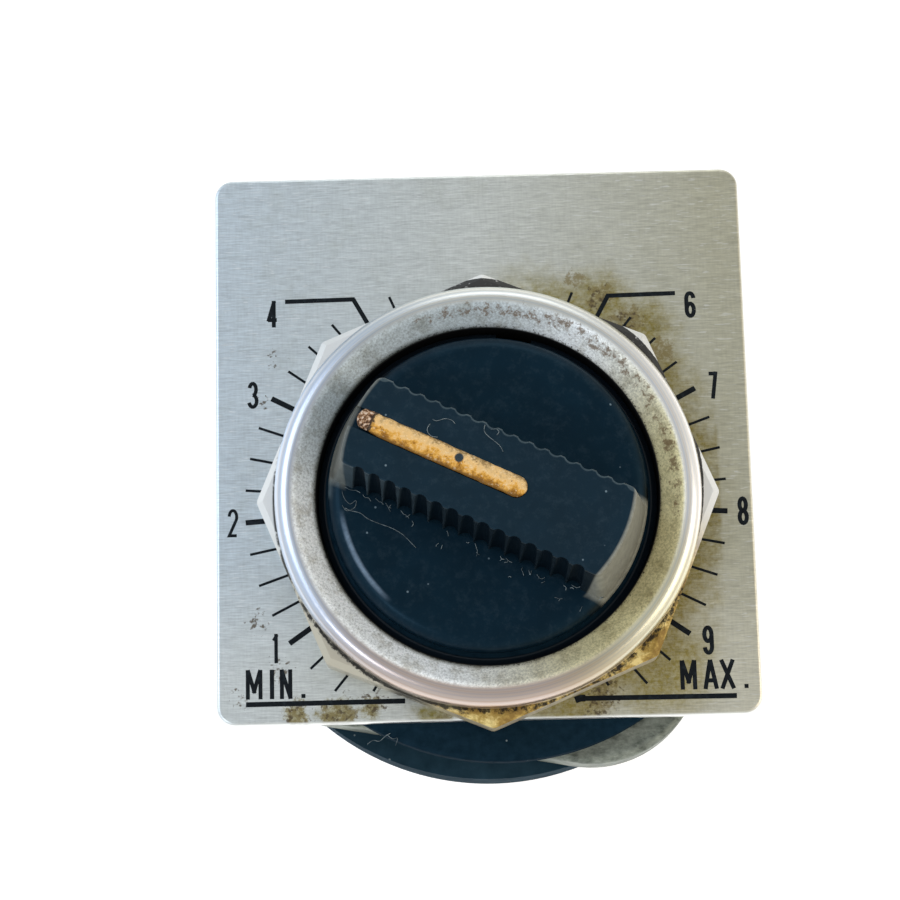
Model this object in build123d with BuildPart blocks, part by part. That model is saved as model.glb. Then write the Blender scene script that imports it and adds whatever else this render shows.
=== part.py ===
from build123d import *
import math
import os

os.makedirs("parts", exist_ok=True)

# Heavy-duty panel potentiometer, in millimetres
# Origin on the shaft axis, at the back of the dial plate, where the panel's front face lies
# +Z points at the user, +Y to the top of the dial, +X to its right

# Clearances
face_gap = 0.1            # between flat faces that turn past each other
knob_gap = 0.4            # between the seal and the knob
running_gap = 0.05        # radial, round a turning shaft
seat_gap = 0.05           # radial, round a part that is seated and stays put

# Dial plate, a blanked aluminium sheet
plate_width = 48.0
plate_height = 50.1
plate_thickness = 1.0
plate_offset_x = -0.3
plate_below_hole = 4.1    # of plate left under its hole
plate_corner_radius = 1.7
plate_edge_radius = 0.35
plate_hole_gap = 0.3

# Threaded bush and rounded square flange of the die-cast body
bush_share = 0.6282       # of the housing's radius
bush_height = 3.6
bush_chamfer = 0.5
keyway_width = 3.2
keyway_depth = 1.2
flange_inset = 2.6        # of its sides, inside the rim of the housing
flange_corner_radius = 10.0
flange_thickness = 5.0
flange_edge_radius = 0.6
flange_turn = -10.5
bush_wall = 2.95          # round the bearing recess
bearing_recess_depth = 3.0

# Rubber seal: a plug round the spindle and a skirt over the end of the bush
seal_radius = 8.5
seal_depth = 2.0
seal_skirt_inset = 0.65
seal_skirt_thickness = 0.8
seal_bevel = 0.5

# Gasket, which lies a little off centre as on the real one
gasket_inset = 0.9        # inside the rim of the housing
gasket_thickness = 2.4
gasket_hole_gap = 1.0
gasket_offset = 0.9
gasket_edge_radius = 0.4

# Mounting nut: an octagon with a dished round bezel
octagon_ledge = 0.15      # of its flats beyond the bezel
octagon_height = 3.3
octagon_corner_radius = 0.7
octagon_chamfer = 0.55
bezel_width = 3.66
bezel_rim_radius = 1.25
bezel_lip = 0.7
dish_slope = 38.0
nut_bore_gap = 0.09
nut_bore_chamfer = 0.5

# Knob: a disc with a diametral grip whose long sides are fluted
pointer_angle = 154.3
knob_side_gap = 1.04
knob_disc_thickness = 1.8
knob_disc_edge_radius = 1.3
grip_height = 6.7
grip_half_width = 4.1
grip_draft = 5.0
grip_end_taper = 1.4
grip_end_inset = 0.1
grip_edge_radius = 0.25
grip_corner_radius = 0.8
flute_end_margin = 1.5
flute_pitch = 1.45
flute_radius = 0.72
flute_top_depth = 0.25    # the flutes run with less draft than the wall, so they deepen downward
flute_foot_depth = 0.55
knob_wall = 1.6
knob_hub_radius = 7.0
knob_recess_depth = 0.7
pointer_width = 1.85
pointer_depth = 0.6
pointer_inner = 3.5
pointer_end_inset = 0.4

# Spindle, steel, moulded into the knob
spindle_radius = 4.75
tang_radius = 3.0
tang_flat = 0.5
tang_cover = 1.3          # of knob left between the tang and the pointer groove
tongue_width = 3.0
tongue_length = 3.0
spindle_end_chamfer = 0.4
washer_radius = 8.0
washer_thickness = 0.6
clip_radius = 7.4
clip_thickness = 0.8
clip_groove_depth = 0.8
clip_opening = 5.4

# Sleeve that joins the spindle to the potentiometer's shaft
spindle_reach = 4.6       # from the back of the flange to the end of the spindle's journal
sleeve_wall = 1.85        # round the spindle
sleeve_length = 8.2
sleeve_gap = 0.3          # at either end of the sleeve, and behind the tongue
set_screw_radius = 1.5
set_screw_inset = 0.2
set_screw_from_end = 2.2

# Rear housing, moulded
housing_radius = 23.8
housing_rim_depth = 6.0
housing_edge_radius = 0.8
tower_share = 0.681       # of the housing's radius, at the foot
tower_taper = 1.0
cavity_share = 0.504      # of the housing's radius
tower_edge_radius = 0.9
housing_floor = 2.5
rib_count = 8
rib_width = 1.6
rib_foot = 3.8
rib_height = 6.5

# Screws that hold the housing to the flange
housing_screw_share = 0.849   # of the housing's radius
housing_screw_radius = 2.0
housing_screw_head_radius = 3.0
housing_screw_head_height = 2.0
housing_screw_head_edge = 0.6
housing_screw_engagement = 3.9
housing_screw_hole_gap = 0.2
screw_tip_gap = 0.4
slot_width = 0.8
slot_depth = 0.9
lockwasher_thickness = 0.7
lockwasher_radius = 3.05

# Potentiometer: bushing, nut, shaft
bushing_radius = 4.76
bushing_over_nut = 0.6
bushing_collar_radius = 6.0
pot_nut_flats = 12.7
pot_nut_height = 2.4
pot_nut_chamfer = 0.35
pot_washer_radius = 6.8
pot_washer_thickness = 0.6
pot_washer_teeth = 12
pot_washer_tooth_depth = 0.9
pot_washer_tooth_width = 0.8
pot_shaft_radius = 3.175
front_plate_share = 0.941     # of the tower's end
front_plate_thickness = 1.0
locating_lug_share = 0.833    # of the housing's cavity
locating_lug_width = 2.4
locating_lug_depth = 1.4
locating_lug_height = 1.8

# Potentiometer: moulded base with its terminals
base_floor = 2.8
base_wall_height = 3.5
base_cavity_share = 0.853     # of the front plate
base_hole_radius = 3.9
block_reach = 5.65        # of the terminal block beyond the round base
block_end_angle = 2.5     # degrees beyond the middle of the last barrier
block_corner_radius = 1.0
barrier_width = 1.1
barrier_height = 1.6
barrier_end_inset = 0.6
barrier_cover_gap = 0.3
terminal_step = 24.0      # degrees from one terminal to the next
strap_side_gap = 0.28     # to the barriers
terminal_thickness = 0.8
terminal_corner_radius = 0.7
terminal_end_inset = 0.7
terminal_screw_inset = 2.8
terminal_screw_radius = 1.5
terminal_screw_head_radius = 2.25
terminal_screw_head_height = 1.7
terminal_screw_head_edge = 0.5

# Resistance track, collector and wiper
track_outer_share = 0.918     # of the base's cavity
track_inner_share = 0.689
track_thickness = 0.8
track_gap_angle = 28.0
collector_outer_share = 0.541
collector_inner_share = 0.377
collector_tail_width = 3.0
brush_length = 2.3
brush_side = 1.7
carrier_over_track = 0.2
carrier_thickness = 3.2
carrier_above_track = 1.1
stop_lug_half_angle = 12.0
stop_lug_gap = 0.9        # inside the cover
stop_lug_height = 1.4
stop_post_half_angle = 11.5
stop_post_gap = 0.4       # inside the cover
stop_post_height = 1.8
stop_angle = -90.0

# Cover, a drawn steel cup
cover_wall = 0.5
cover_end_thickness = 0.6
cover_end_radius = 1.2
cover_end_gap = 0.6
notch_side_angle = 1.0    # degrees, beside the terminal block
shaft_behind_carrier = 0.8

# Heights worked out from the sizes above
plate_front = plate_thickness
nut_shoulder = plate_front + octagon_height
bezel_inner_top = nut_shoulder + bezel_lip
seal_front = bush_height + seal_skirt_thickness
knob_bottom = seal_front + knob_gap
knob_disc_top = knob_bottom + knob_disc_thickness
knob_top = knob_disc_top + grip_height
flange_front = -gasket_thickness
flange_back = flange_front - flange_thickness
bearing_back = flange_back + bearing_recess_depth
journal_end = flange_back - spindle_reach
tongue_end = journal_end - tongue_length
sleeve_front = journal_end - sleeve_gap
sleeve_back = sleeve_front - sleeve_length
housing_rim_back = flange_back - housing_rim_depth
bushing_front = sleeve_back - sleeve_gap
pot_nut_back = bushing_front - bushing_over_nut - pot_nut_height
housing_floor_front = pot_nut_back - pot_washer_thickness
housing_back = housing_floor_front - housing_floor
front_plate_back = housing_back - front_plate_thickness
base_floor_back = front_plate_back - base_floor
base_back = base_floor_back - base_wall_height
track_back = base_floor_back - track_thickness
brush_front = track_back - face_gap
carrier_front = track_back - carrier_above_track
carrier_back = carrier_front - carrier_thickness
shaft_end = carrier_back - shaft_behind_carrier
cover_back = shaft_end - cover_end_gap - cover_end_thickness

# Radii and places worked out from the sizes above
bush_radius = bush_share * housing_radius
plate_hole_radius = bush_radius + plate_hole_gap
plate_offset_y = plate_height / 2 - plate_hole_radius - plate_below_hole
seal_skirt_radius = bush_radius - seal_skirt_inset
gasket_hole_radius = bush_radius + gasket_hole_gap
gasket_radius = housing_radius - gasket_inset
flange_half_side = housing_radius - flange_inset
bearing_recess_radius = bush_radius - bush_wall
nut_bore_radius = bush_radius + nut_bore_gap
bezel_radius = nut_bore_radius + bezel_width
octagon_radius = (bezel_radius + octagon_ledge) / math.cos(math.pi / 8)
knob_radius = nut_bore_radius - knob_side_gap
sleeve_radius = spindle_radius + sleeve_wall
knob_recess_radius = knob_radius - knob_wall
grip_end_radius = knob_radius - grip_end_taper
flute_count = int(2 * (grip_end_radius - flute_end_margin) / flute_pitch)
pointer_outer = grip_end_radius - pointer_end_inset
tang_length = knob_disc_thickness + grip_height - pointer_depth - tang_cover
housing_screw_circle = housing_screw_share * housing_radius
tower_base_radius = tower_share * housing_radius
tower_end_radius = tower_base_radius - tower_taper
cavity_radius = cavity_share * housing_radius
front_plate_radius = front_plate_share * tower_end_radius
locating_lug_circle = locating_lug_share * cavity_radius
pot_bore_radius = pot_shaft_radius + running_gap
cover_inner_radius = front_plate_radius - cover_wall
base_radius = cover_inner_radius - seat_gap
base_cavity_radius = base_cavity_share * front_plate_radius
block_radius = base_radius + block_reach
block_half_angle = 1.5 * terminal_step + block_end_angle
barrier_inner = front_plate_radius + barrier_cover_gap
barrier_outer = block_radius - barrier_end_inset
track_outer = track_outer_share * base_cavity_radius
track_inner = track_inner_share * base_cavity_radius
collector_outer = collector_outer_share * base_cavity_radius
collector_inner = collector_inner_share * base_cavity_radius
track_brush_circle = (track_outer + track_inner) / 2
collector_brush_circle = (collector_outer + collector_inner) / 2
terminal_pitch = 2 * barrier_inner * math.sin(math.radians(terminal_step / 2))
terminal_width = terminal_pitch - barrier_width - 2 * strap_side_gap
terminal_inner = track_outer + seat_gap
terminal_outer = block_radius - terminal_end_inset
terminal_screw_circle = block_radius - terminal_screw_inset
carrier_radius = track_outer + carrier_over_track
stop_lug_radius = cover_inner_radius - stop_lug_gap
stop_post_outer = cover_inner_radius - stop_post_gap

# Planes in line with the pointer and with the turned flange
pointer_plane = Plane(
    origin=(0, 0, 0),
    x_dir=(math.cos(math.radians(pointer_angle)), math.sin(math.radians(pointer_angle)), 0),
    z_dir=(0, 0, 1),
)


def flange_plane(height):
    # the plane of the turned flange at one height
    return Plane(origin=(0, 0, height)).rotated((0, 0, flange_turn))


def ring_sector(inner, outer, middle_angle, half_angle):
    # a stretch of a flat ring between two radii, to either side of an angle
    with BuildSketch(mode=Mode.PRIVATE) as sector:
        with BuildLine():
            start_angle = middle_angle - half_angle
            CenterArc((0, 0), outer, start_angle, 2 * half_angle)
            CenterArc((0, 0), inner, start_angle, 2 * half_angle)
            for side in (-1, 1):
                edge_plane = Plane.XY.rotated((0, 0, middle_angle + side * half_angle))
                Line(edge_plane.x_dir * inner, edge_plane.x_dir * outer)
        make_face()
    return sector.sketch


def housing_screw_places():
    # two opposite corners of the flange
    return PolarLocations(housing_screw_circle, 2, start_angle=45)


def terminal_screw_places():
    # one for each terminal, the middle one at the stop angle
    first_angle = stop_angle - terminal_step
    return PolarLocations(terminal_screw_circle, 3, first_angle, 2 * terminal_step, endpoint=True)


# Dial plate
with BuildPart() as dial_plate:
    with BuildSketch() as plate_outline:
        with Locations((plate_offset_x, plate_offset_y)):
            RectangleRounded(plate_width, plate_height, plate_corner_radius)
        Circle(plate_hole_radius, mode=Mode.SUBTRACT)
    extrude(amount=plate_thickness)
    plate_rim = dial_plate.faces().sort_by(Axis.Z)[-1].outer_wire().edges()
    fillet(plate_rim, radius=plate_edge_radius)
dial_plate.part.label = "dial_plate"
export_step(dial_plate.part, "parts/dial_plate.step")

# Gasket behind the plate
with BuildPart() as panel_gasket:
    with BuildSketch(Plane.XY.offset(flange_front)):
        with Locations((gasket_offset, 0)):
            Circle(gasket_radius)
            Circle(gasket_hole_radius, mode=Mode.SUBTRACT)
    extrude(amount=gasket_thickness)
    gasket_rims = panel_gasket.edges().filter_by(GeomType.CIRCLE).sort_by(SortBy.RADIUS)[-2:]
    fillet(gasket_rims, radius=gasket_edge_radius)
panel_gasket.part.label = "panel_gasket"
export_step(panel_gasket.part, "parts/panel_gasket.step")

# Die-cast body: flange, threaded bush, bearing, seal pocket and tapped corners
with BuildPart() as operator_body:
    with BuildSketch(flange_plane(flange_back)):
        RectangleRounded(2 * flange_half_side, 2 * flange_half_side, flange_corner_radius)
    extrude(amount=flange_thickness)
    flange_rims = operator_body.faces().filter_by(Axis.Z).edges()
    fillet(flange_rims, radius=flange_edge_radius)
    with BuildSketch(Plane.XY.offset(flange_front)):
        Circle(bush_radius)
    extrude(amount=bush_height - flange_front)
    bush_rim = operator_body.faces().sort_by(Axis.Z)[-1].edges()
    chamfer(bush_rim, length=bush_chamfer)
    with BuildSketch(flange_plane(flange_front)):
        with Locations((0, bush_radius)):
            Rectangle(keyway_width, 2 * keyway_depth)
    extrude(amount=bush_height - flange_front, mode=Mode.SUBTRACT)
    with BuildSketch(Plane.XY.offset(bush_height)):
        Circle(seal_radius)
    extrude(amount=-seal_depth, mode=Mode.SUBTRACT)
    with BuildSketch(Plane.XY.offset(flange_back)):
        Circle(bearing_recess_radius)
    extrude(amount=bearing_recess_depth, mode=Mode.SUBTRACT)
    with BuildSketch(Plane.XY.offset(flange_back)):
        Circle(spindle_radius + running_gap)
    extrude(amount=bush_height - flange_back, mode=Mode.SUBTRACT)
    with BuildSketch(flange_plane(flange_back)):
        with housing_screw_places():
            Circle(housing_screw_radius)
    extrude(amount=housing_screw_engagement + screw_tip_gap, mode=Mode.SUBTRACT)
operator_body.part.label = "operator_body"
export_step(operator_body.part, "parts/operator_body.step")

# Seal seated in the front of the bush, with its skirt under the knob
with BuildPart() as spindle_seal:
    with BuildSketch(Plane.XY.offset(bush_height - seal_depth)):
        Circle(seal_radius)
    extrude(amount=seal_depth)
    with BuildSketch(Plane.XY.offset(bush_height)):
        Circle(seal_skirt_radius)
    extrude(amount=seal_skirt_thickness)
    with BuildSketch(Plane.XY.offset(bush_height - seal_depth)):
        Circle(spindle_radius + running_gap)
    extrude(amount=seal_depth + seal_skirt_thickness, mode=Mode.SUBTRACT)
    seal_rims = spindle_seal.faces().sort_by(Axis.Z)[-1].edges()
    chamfer(seal_rims, length=seal_bevel)
spindle_seal.part.label = "spindle_seal"
export_step(spindle_seal.part, "parts/spindle_seal.step")

# Mounting nut: chamfered octagon, dished bezel with a round rim, bore for the bush
with BuildPart() as mounting_nut:
    with BuildSketch(Plane.XY.offset(plate_front)):
        octagon = RegularPolygon(octagon_radius, 8, rotation=90)
        fillet(octagon.vertices(), radius=octagon_corner_radius)
    extrude(amount=octagon_height)
    octagon_rim = mounting_nut.faces().sort_by(Axis.Z)[-1].edges()
    chamfer(octagon_rim, length=octagon_chamfer)
    peak_height = bezel_inner_top + (bezel_radius - nut_bore_radius) * math.tan(math.radians(dish_slope))
    with BuildSketch(Plane.XZ) as bezel_profile:
        with BuildLine():
            Polyline(
                (0, plate_front),
                (bezel_radius, plate_front),
                (bezel_radius, peak_height),
                (nut_bore_radius, bezel_inner_top),
                (0, bezel_inner_top),
                close=True,
            )
        make_face()
        rim_point = bezel_profile.vertices().sort_by(Axis.Y)[-1]
        fillet(rim_point, radius=bezel_rim_radius)
    revolve(axis=Axis.Z)
    with BuildSketch(Plane.XY.offset(plate_front)):
        Circle(nut_bore_radius)
    extrude(amount=octagon_height + bezel_lip, mode=Mode.SUBTRACT)
    bore_mouth = mounting_nut.faces().sort_by(Axis.Z)[0].inner_wires()[0].edges()
    chamfer(bore_mouth, length=nut_bore_chamfer)
mounting_nut.part.label = "mounting_nut"
export_step(mounting_nut.part, "parts/mounting_nut.step")

# Knob: drafted grip lofted between two barrel outlines, fluted on its long sides, on a round-edged disc
grip_foot = knob_disc_top - knob_disc_edge_radius
grip_full_height = knob_top - grip_foot
grip_foot_half_width = grip_half_width + grip_full_height * math.tan(math.radians(grip_draft))
grip_outlines = (
    (grip_foot, knob_radius - grip_end_inset, grip_foot_half_width),
    (knob_top, grip_end_radius, grip_half_width),
)
flute_foot_axis = grip_foot_half_width + flute_radius - flute_foot_depth
flute_top_axis = grip_half_width + flute_radius - flute_top_depth
flute_lean = flute_top_axis - flute_foot_axis
with BuildPart() as knob:
    for outline_height, end_radius, half_width in grip_outlines:
        with BuildSketch(pointer_plane.offset(outline_height)) as grip_outline:
            Circle(end_radius)
            Rectangle(2 * knob_radius, 2 * half_width, mode=Mode.INTERSECT)
            fillet(grip_outline.vertices(), radius=grip_corner_radius)
    loft(ruled=True)
    grip_rim = knob.faces().sort_by(Axis.Z)[-1].edges()
    fillet(grip_rim, radius=grip_edge_radius)
    for side in (-1, 1):
        flute_plane = Plane(
            origin=pointer_plane.y_dir * (side * flute_foot_axis) + Vector(0, 0, grip_foot),
            x_dir=pointer_plane.x_dir,
            z_dir=Vector(0, 0, grip_full_height) + pointer_plane.y_dir * (side * flute_lean),
        )
        with BuildSketch(flute_plane.offset(-flute_radius)):
            with GridLocations(flute_pitch, 0, flute_count, 1):
                Circle(flute_radius)
        extrude(amount=grip_full_height + 2 * flute_radius, mode=Mode.SUBTRACT)
    with BuildPart(mode=Mode.PRIVATE) as knob_disc:
        with BuildSketch(Plane.XY.offset(knob_bottom)):
            Circle(knob_radius)
        extrude(amount=knob_disc_thickness)
        disc_rim = knob_disc.faces().sort_by(Axis.Z)[-1].edges()
        fillet(disc_rim, radius=knob_disc_edge_radius)
    add(knob_disc.part)
    with BuildSketch(Plane.XY.offset(knob_bottom)):
        Circle(knob_recess_radius)
        Circle(knob_hub_radius, mode=Mode.SUBTRACT)
    extrude(amount=knob_recess_depth, mode=Mode.SUBTRACT)
    with BuildSketch(pointer_plane.offset(knob_bottom)):
        Circle(tang_radius)
        with Locations((0, -2 * tang_radius + tang_flat)):
            Rectangle(2 * tang_radius, 2 * tang_radius, mode=Mode.SUBTRACT)
    extrude(amount=tang_length, mode=Mode.SUBTRACT)
    with BuildSketch(pointer_plane.offset(knob_top)) as pointer_groove:
        with Locations((knob_radius / 2 - pointer_inner / 2, 0)):
            Rectangle(knob_radius + pointer_inner - pointer_width, pointer_width)
        with Locations((-pointer_inner + pointer_width / 2, 0)):
            Circle(pointer_width / 2)
    extrude(amount=-pointer_depth, mode=Mode.SUBTRACT)
knob.part.label = "knob"
export_step(knob.part, "parts/knob.step")

# Paint line that fills the groove in the grip
with BuildPart() as pointer_line:
    with BuildSketch(pointer_plane.offset(knob_top - pointer_depth)):
        line_start = -pointer_inner + pointer_width / 2
        line_end = pointer_outer - pointer_width / 2
        with Locations(((line_start + line_end) / 2, 0)):
            Rectangle(line_end - line_start, pointer_width)
        with Locations((line_start, 0), (line_end, 0)):
            Circle(pointer_width / 2)
    extrude(amount=pointer_depth)
pointer_line.part.label = "pointer_line"
export_step(pointer_line.part, "parts/pointer_line.step")

# Spindle: flatted tang in the knob, journal, clip groove and driving tongue
clip_front = bearing_back - face_gap - washer_thickness
with BuildPart() as spindle:
    with BuildSketch(pointer_plane.offset(knob_bottom)):
        Circle(tang_radius)
        with Locations((0, -2 * tang_radius + tang_flat)):
            Rectangle(2 * tang_radius, 2 * tang_radius, mode=Mode.SUBTRACT)
    extrude(amount=tang_length)
    with BuildSketch(Plane.XY.offset(journal_end)):
        Circle(spindle_radius)
    extrude(amount=knob_bottom - journal_end)
    journal_rim = spindle.edges().filter_by(GeomType.CIRCLE).group_by(Axis.Z)[0]
    chamfer(journal_rim, length=spindle_end_chamfer)
    with BuildSketch(Plane.XY.offset(clip_front)):
        Circle(2 * spindle_radius)
        Circle(spindle_radius - clip_groove_depth, mode=Mode.SUBTRACT)
    extrude(amount=-clip_thickness, mode=Mode.SUBTRACT)
    with BuildSketch(pointer_plane.offset(tongue_end)):
        Circle(spindle_radius - spindle_end_chamfer)
        Rectangle(2 * spindle_radius, tongue_width, mode=Mode.INTERSECT)
    extrude(amount=tongue_length)
spindle.part.label = "spindle"
export_step(spindle.part, "parts/spindle.step")

# Thrust washer and the clip behind it
with BuildPart() as thrust_washer:
    with BuildSketch(Plane.XY.offset(clip_front)):
        Circle(washer_radius)
        Circle(spindle_radius + seat_gap, mode=Mode.SUBTRACT)
    extrude(amount=washer_thickness)
thrust_washer.part.label = "thrust_washer"
export_step(thrust_washer.part, "parts/thrust_washer.step")

with BuildPart() as retaining_clip:
    with BuildSketch(pointer_plane.offset(clip_front - clip_thickness)) as clip_outline:
        Circle(clip_radius)
        Circle(spindle_radius - clip_groove_depth, mode=Mode.SUBTRACT)
        with Locations((clip_radius, 0)):
            Rectangle(2 * clip_radius, clip_opening, mode=Mode.SUBTRACT)
        fillet(clip_outline.vertices().sort_by(Axis.X)[-2:], radius=clip_thickness)
    extrude(amount=clip_thickness)
retaining_clip.part.label = "retaining_clip"
export_step(retaining_clip.part, "parts/retaining_clip.step")

# Coupling sleeve: a slot for the spindle's tongue, a bore for the potentiometer's shaft
shaft_top = sleeve_front - sleeve_gap - tongue_length - sleeve_gap
with BuildPart() as shaft_coupling:
    with BuildSketch(Plane.XY.offset(sleeve_back)):
        Circle(sleeve_radius)
    extrude(amount=sleeve_length)
    sleeve_rims = shaft_coupling.edges().filter_by(GeomType.CIRCLE)
    chamfer(sleeve_rims, length=spindle_end_chamfer)
    with BuildSketch(pointer_plane.offset(sleeve_front)):
        Rectangle(2 * sleeve_radius, tongue_width + 2 * seat_gap)
    extrude(amount=-tongue_length - sleeve_gap, mode=Mode.SUBTRACT)
    with BuildSketch(Plane.XY.offset(sleeve_back)):
        Circle(pot_shaft_radius + seat_gap)
    extrude(amount=sleeve_length, mode=Mode.SUBTRACT)
    for turn in (0, 90):
        with BuildSketch(Plane(origin=(0, 0, sleeve_back + set_screw_from_end)).rotated((90, 0, turn))):
            Circle(set_screw_radius)
        extrude(amount=sleeve_radius, mode=Mode.SUBTRACT)
shaft_coupling.part.label = "shaft_coupling"
export_step(shaft_coupling.part, "parts/shaft_coupling.step")

with BuildPart() as coupling_screws:
    for turn in (0, 90):
        screw_plane = Plane(origin=(0, 0, sleeve_back + set_screw_from_end)).rotated((90, 0, turn))
        with BuildSketch(screw_plane.offset(pot_shaft_radius + seat_gap)):
            Circle(set_screw_radius)
        extrude(amount=sleeve_radius - set_screw_inset - pot_shaft_radius - seat_gap)
coupling_screws.part.label = "coupling_screws"
export_step(coupling_screws.part, "parts/coupling_screws.step")

# Rear housing: round rim, tapered tower with ribs, cavity and floor for the bushing
with BuildPart() as rear_housing:
    with BuildSketch(Plane.XZ) as housing_profile:
        with BuildLine():
            Polyline(
                (0, flange_back),
                (housing_radius, flange_back),
                (housing_radius, housing_rim_back),
                (tower_base_radius, housing_rim_back),
                (tower_end_radius, housing_back),
                (0, housing_back),
                close=True,
            )
        make_face()
        rim_corner = housing_profile.vertices().group_by(Axis.X)[-1].sort_by(Axis.Y)[0]
        fillet(rim_corner, radius=housing_edge_radius)
        tower_corner = housing_profile.vertices().group_by(Axis.Y)[0].sort_by(Axis.X)[-1]
        fillet(tower_corner, radius=tower_edge_radius)
    revolve(axis=Axis.Z)
    with BuildPart(mode=Mode.PRIVATE) as rib:
        with BuildSketch(Plane.XZ):
            with BuildLine():
                Polyline(
                    (cavity_radius, housing_rim_back),
                    (tower_base_radius + rib_foot, housing_rim_back),
                    (tower_end_radius, housing_rim_back - rib_height),
                    (cavity_radius, housing_rim_back - rib_height),
                    close=True,
                )
            make_face()
        extrude(amount=rib_width / 2, both=True)
    with PolarLocations(0, rib_count, start_angle=flange_turn + 180 / rib_count):
        add(rib.part)
    with BuildSketch(Plane.XY.offset(flange_back)):
        Circle(cavity_radius)
    extrude(amount=housing_floor_front - flange_back, mode=Mode.SUBTRACT)
    with BuildSketch(Plane.XY.offset(housing_floor_front)):
        Circle(bushing_radius + seat_gap)
    extrude(amount=-housing_floor, mode=Mode.SUBTRACT)
    with BuildSketch(Plane.XY.offset(housing_back)):
        with Locations((0, locating_lug_circle)):
            Rectangle(locating_lug_width + 2 * seat_gap, locating_lug_depth + 2 * seat_gap)
    extrude(amount=housing_floor, mode=Mode.SUBTRACT)
    with BuildSketch(flange_plane(flange_back)):
        with housing_screw_places():
            Circle(housing_screw_radius + housing_screw_hole_gap)
    extrude(amount=-housing_rim_depth, mode=Mode.SUBTRACT)
rear_housing.part.label = "rear_housing"
export_step(rear_housing.part, "parts/rear_housing.step")

# Two slotted screws with split lock washers, from behind
head_front = housing_rim_back - lockwasher_thickness
with BuildPart() as housing_screws:
    with BuildSketch(flange_plane(head_front)):
        with housing_screw_places():
            Circle(housing_screw_radius)
    extrude(amount=lockwasher_thickness + housing_rim_depth + housing_screw_engagement)
    with BuildSketch(flange_plane(head_front)):
        with housing_screw_places():
            Circle(housing_screw_head_radius)
    extrude(amount=-housing_screw_head_height)
    head_rims = housing_screws.edges().filter_by(GeomType.CIRCLE).group_by(Axis.Z)[0]
    fillet(head_rims, radius=housing_screw_head_edge)
    with BuildSketch(flange_plane(head_front - housing_screw_head_height)):
        with housing_screw_places():
            Rectangle(2 * housing_screw_head_radius, slot_width)
    extrude(amount=slot_depth, mode=Mode.SUBTRACT)
housing_screws.part.label = "housing_screws"
export_step(housing_screws.part, "parts/housing_screws.step")

with BuildPart() as housing_lockwashers:
    with BuildSketch(flange_plane(head_front)):
        with housing_screw_places():
            Circle(lockwasher_radius)
            Circle(housing_screw_radius + seat_gap, mode=Mode.SUBTRACT)
        with PolarLocations(housing_screw_circle + lockwasher_radius, 2, start_angle=45):
            Rectangle(2 * lockwasher_radius, slot_width, mode=Mode.SUBTRACT)
    extrude(amount=lockwasher_thickness)
housing_lockwashers.part.label = "housing_lockwashers"
export_step(housing_lockwashers.part, "parts/housing_lockwashers.step")

# Potentiometer bushing, its nut and toothed washer
with BuildPart() as pot_bushing:
    with BuildSketch(Plane.XY.offset(front_plate_back)):
        Circle(bushing_collar_radius)
    extrude(amount=front_plate_thickness)
    with BuildSketch(Plane.XY.offset(housing_back)):
        Circle(bushing_radius)
    extrude(amount=bushing_front - housing_back)
    bushing_rim = pot_bushing.faces().sort_by(Axis.Z)[-1].edges()
    chamfer(bushing_rim, length=spindle_end_chamfer)
    with BuildSketch(Plane.XY.offset(front_plate_back)):
        Circle(pot_bore_radius)
    extrude(amount=bushing_front - front_plate_back, mode=Mode.SUBTRACT)
pot_bushing.part.label = "pot_bushing"
export_step(pot_bushing.part, "parts/pot_bushing.step")

with BuildPart() as pot_lockwasher:
    with BuildSketch(Plane.XY.offset(housing_floor_front)):
        Circle(pot_washer_radius)
        Circle(bushing_radius + seat_gap, mode=Mode.SUBTRACT)
        with PolarLocations(pot_washer_radius, pot_washer_teeth):
            Rectangle(2 * pot_washer_tooth_depth, pot_washer_tooth_width, mode=Mode.SUBTRACT)
    extrude(amount=pot_washer_thickness)
pot_lockwasher.part.label = "pot_lockwasher"
export_step(pot_lockwasher.part, "parts/pot_lockwasher.step")

with BuildPart() as pot_nut:
    with BuildSketch(Plane.XY.offset(pot_nut_back)):
        RegularPolygon(pot_nut_flats / 2, 6, major_radius=False)
        Circle(bushing_radius + seat_gap, mode=Mode.SUBTRACT)
    extrude(amount=pot_nut_height)
    nut_corners = pot_nut.faces().sort_by(Axis.Z)[-1].outer_wire().edges()
    chamfer(nut_corners, length=pot_nut_chamfer)
pot_nut.part.label = "pot_nut"
export_step(pot_nut.part, "parts/pot_nut.step")

# Front plate of the potentiometer, with the lug that stops the case turning
with BuildPart() as pot_front_plate:
    with BuildSketch(Plane.XY.offset(front_plate_back)):
        Circle(front_plate_radius)
        Circle(bushing_collar_radius, mode=Mode.SUBTRACT)
    extrude(amount=front_plate_thickness)
    with BuildSketch(Plane.XY.offset(housing_back)):
        with Locations((0, locating_lug_circle)):
            Rectangle(locating_lug_width, locating_lug_depth)
    extrude(amount=locating_lug_height)
pot_front_plate.part.label = "pot_front_plate"
export_step(pot_front_plate.part, "parts/pot_front_plate.step")

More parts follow.
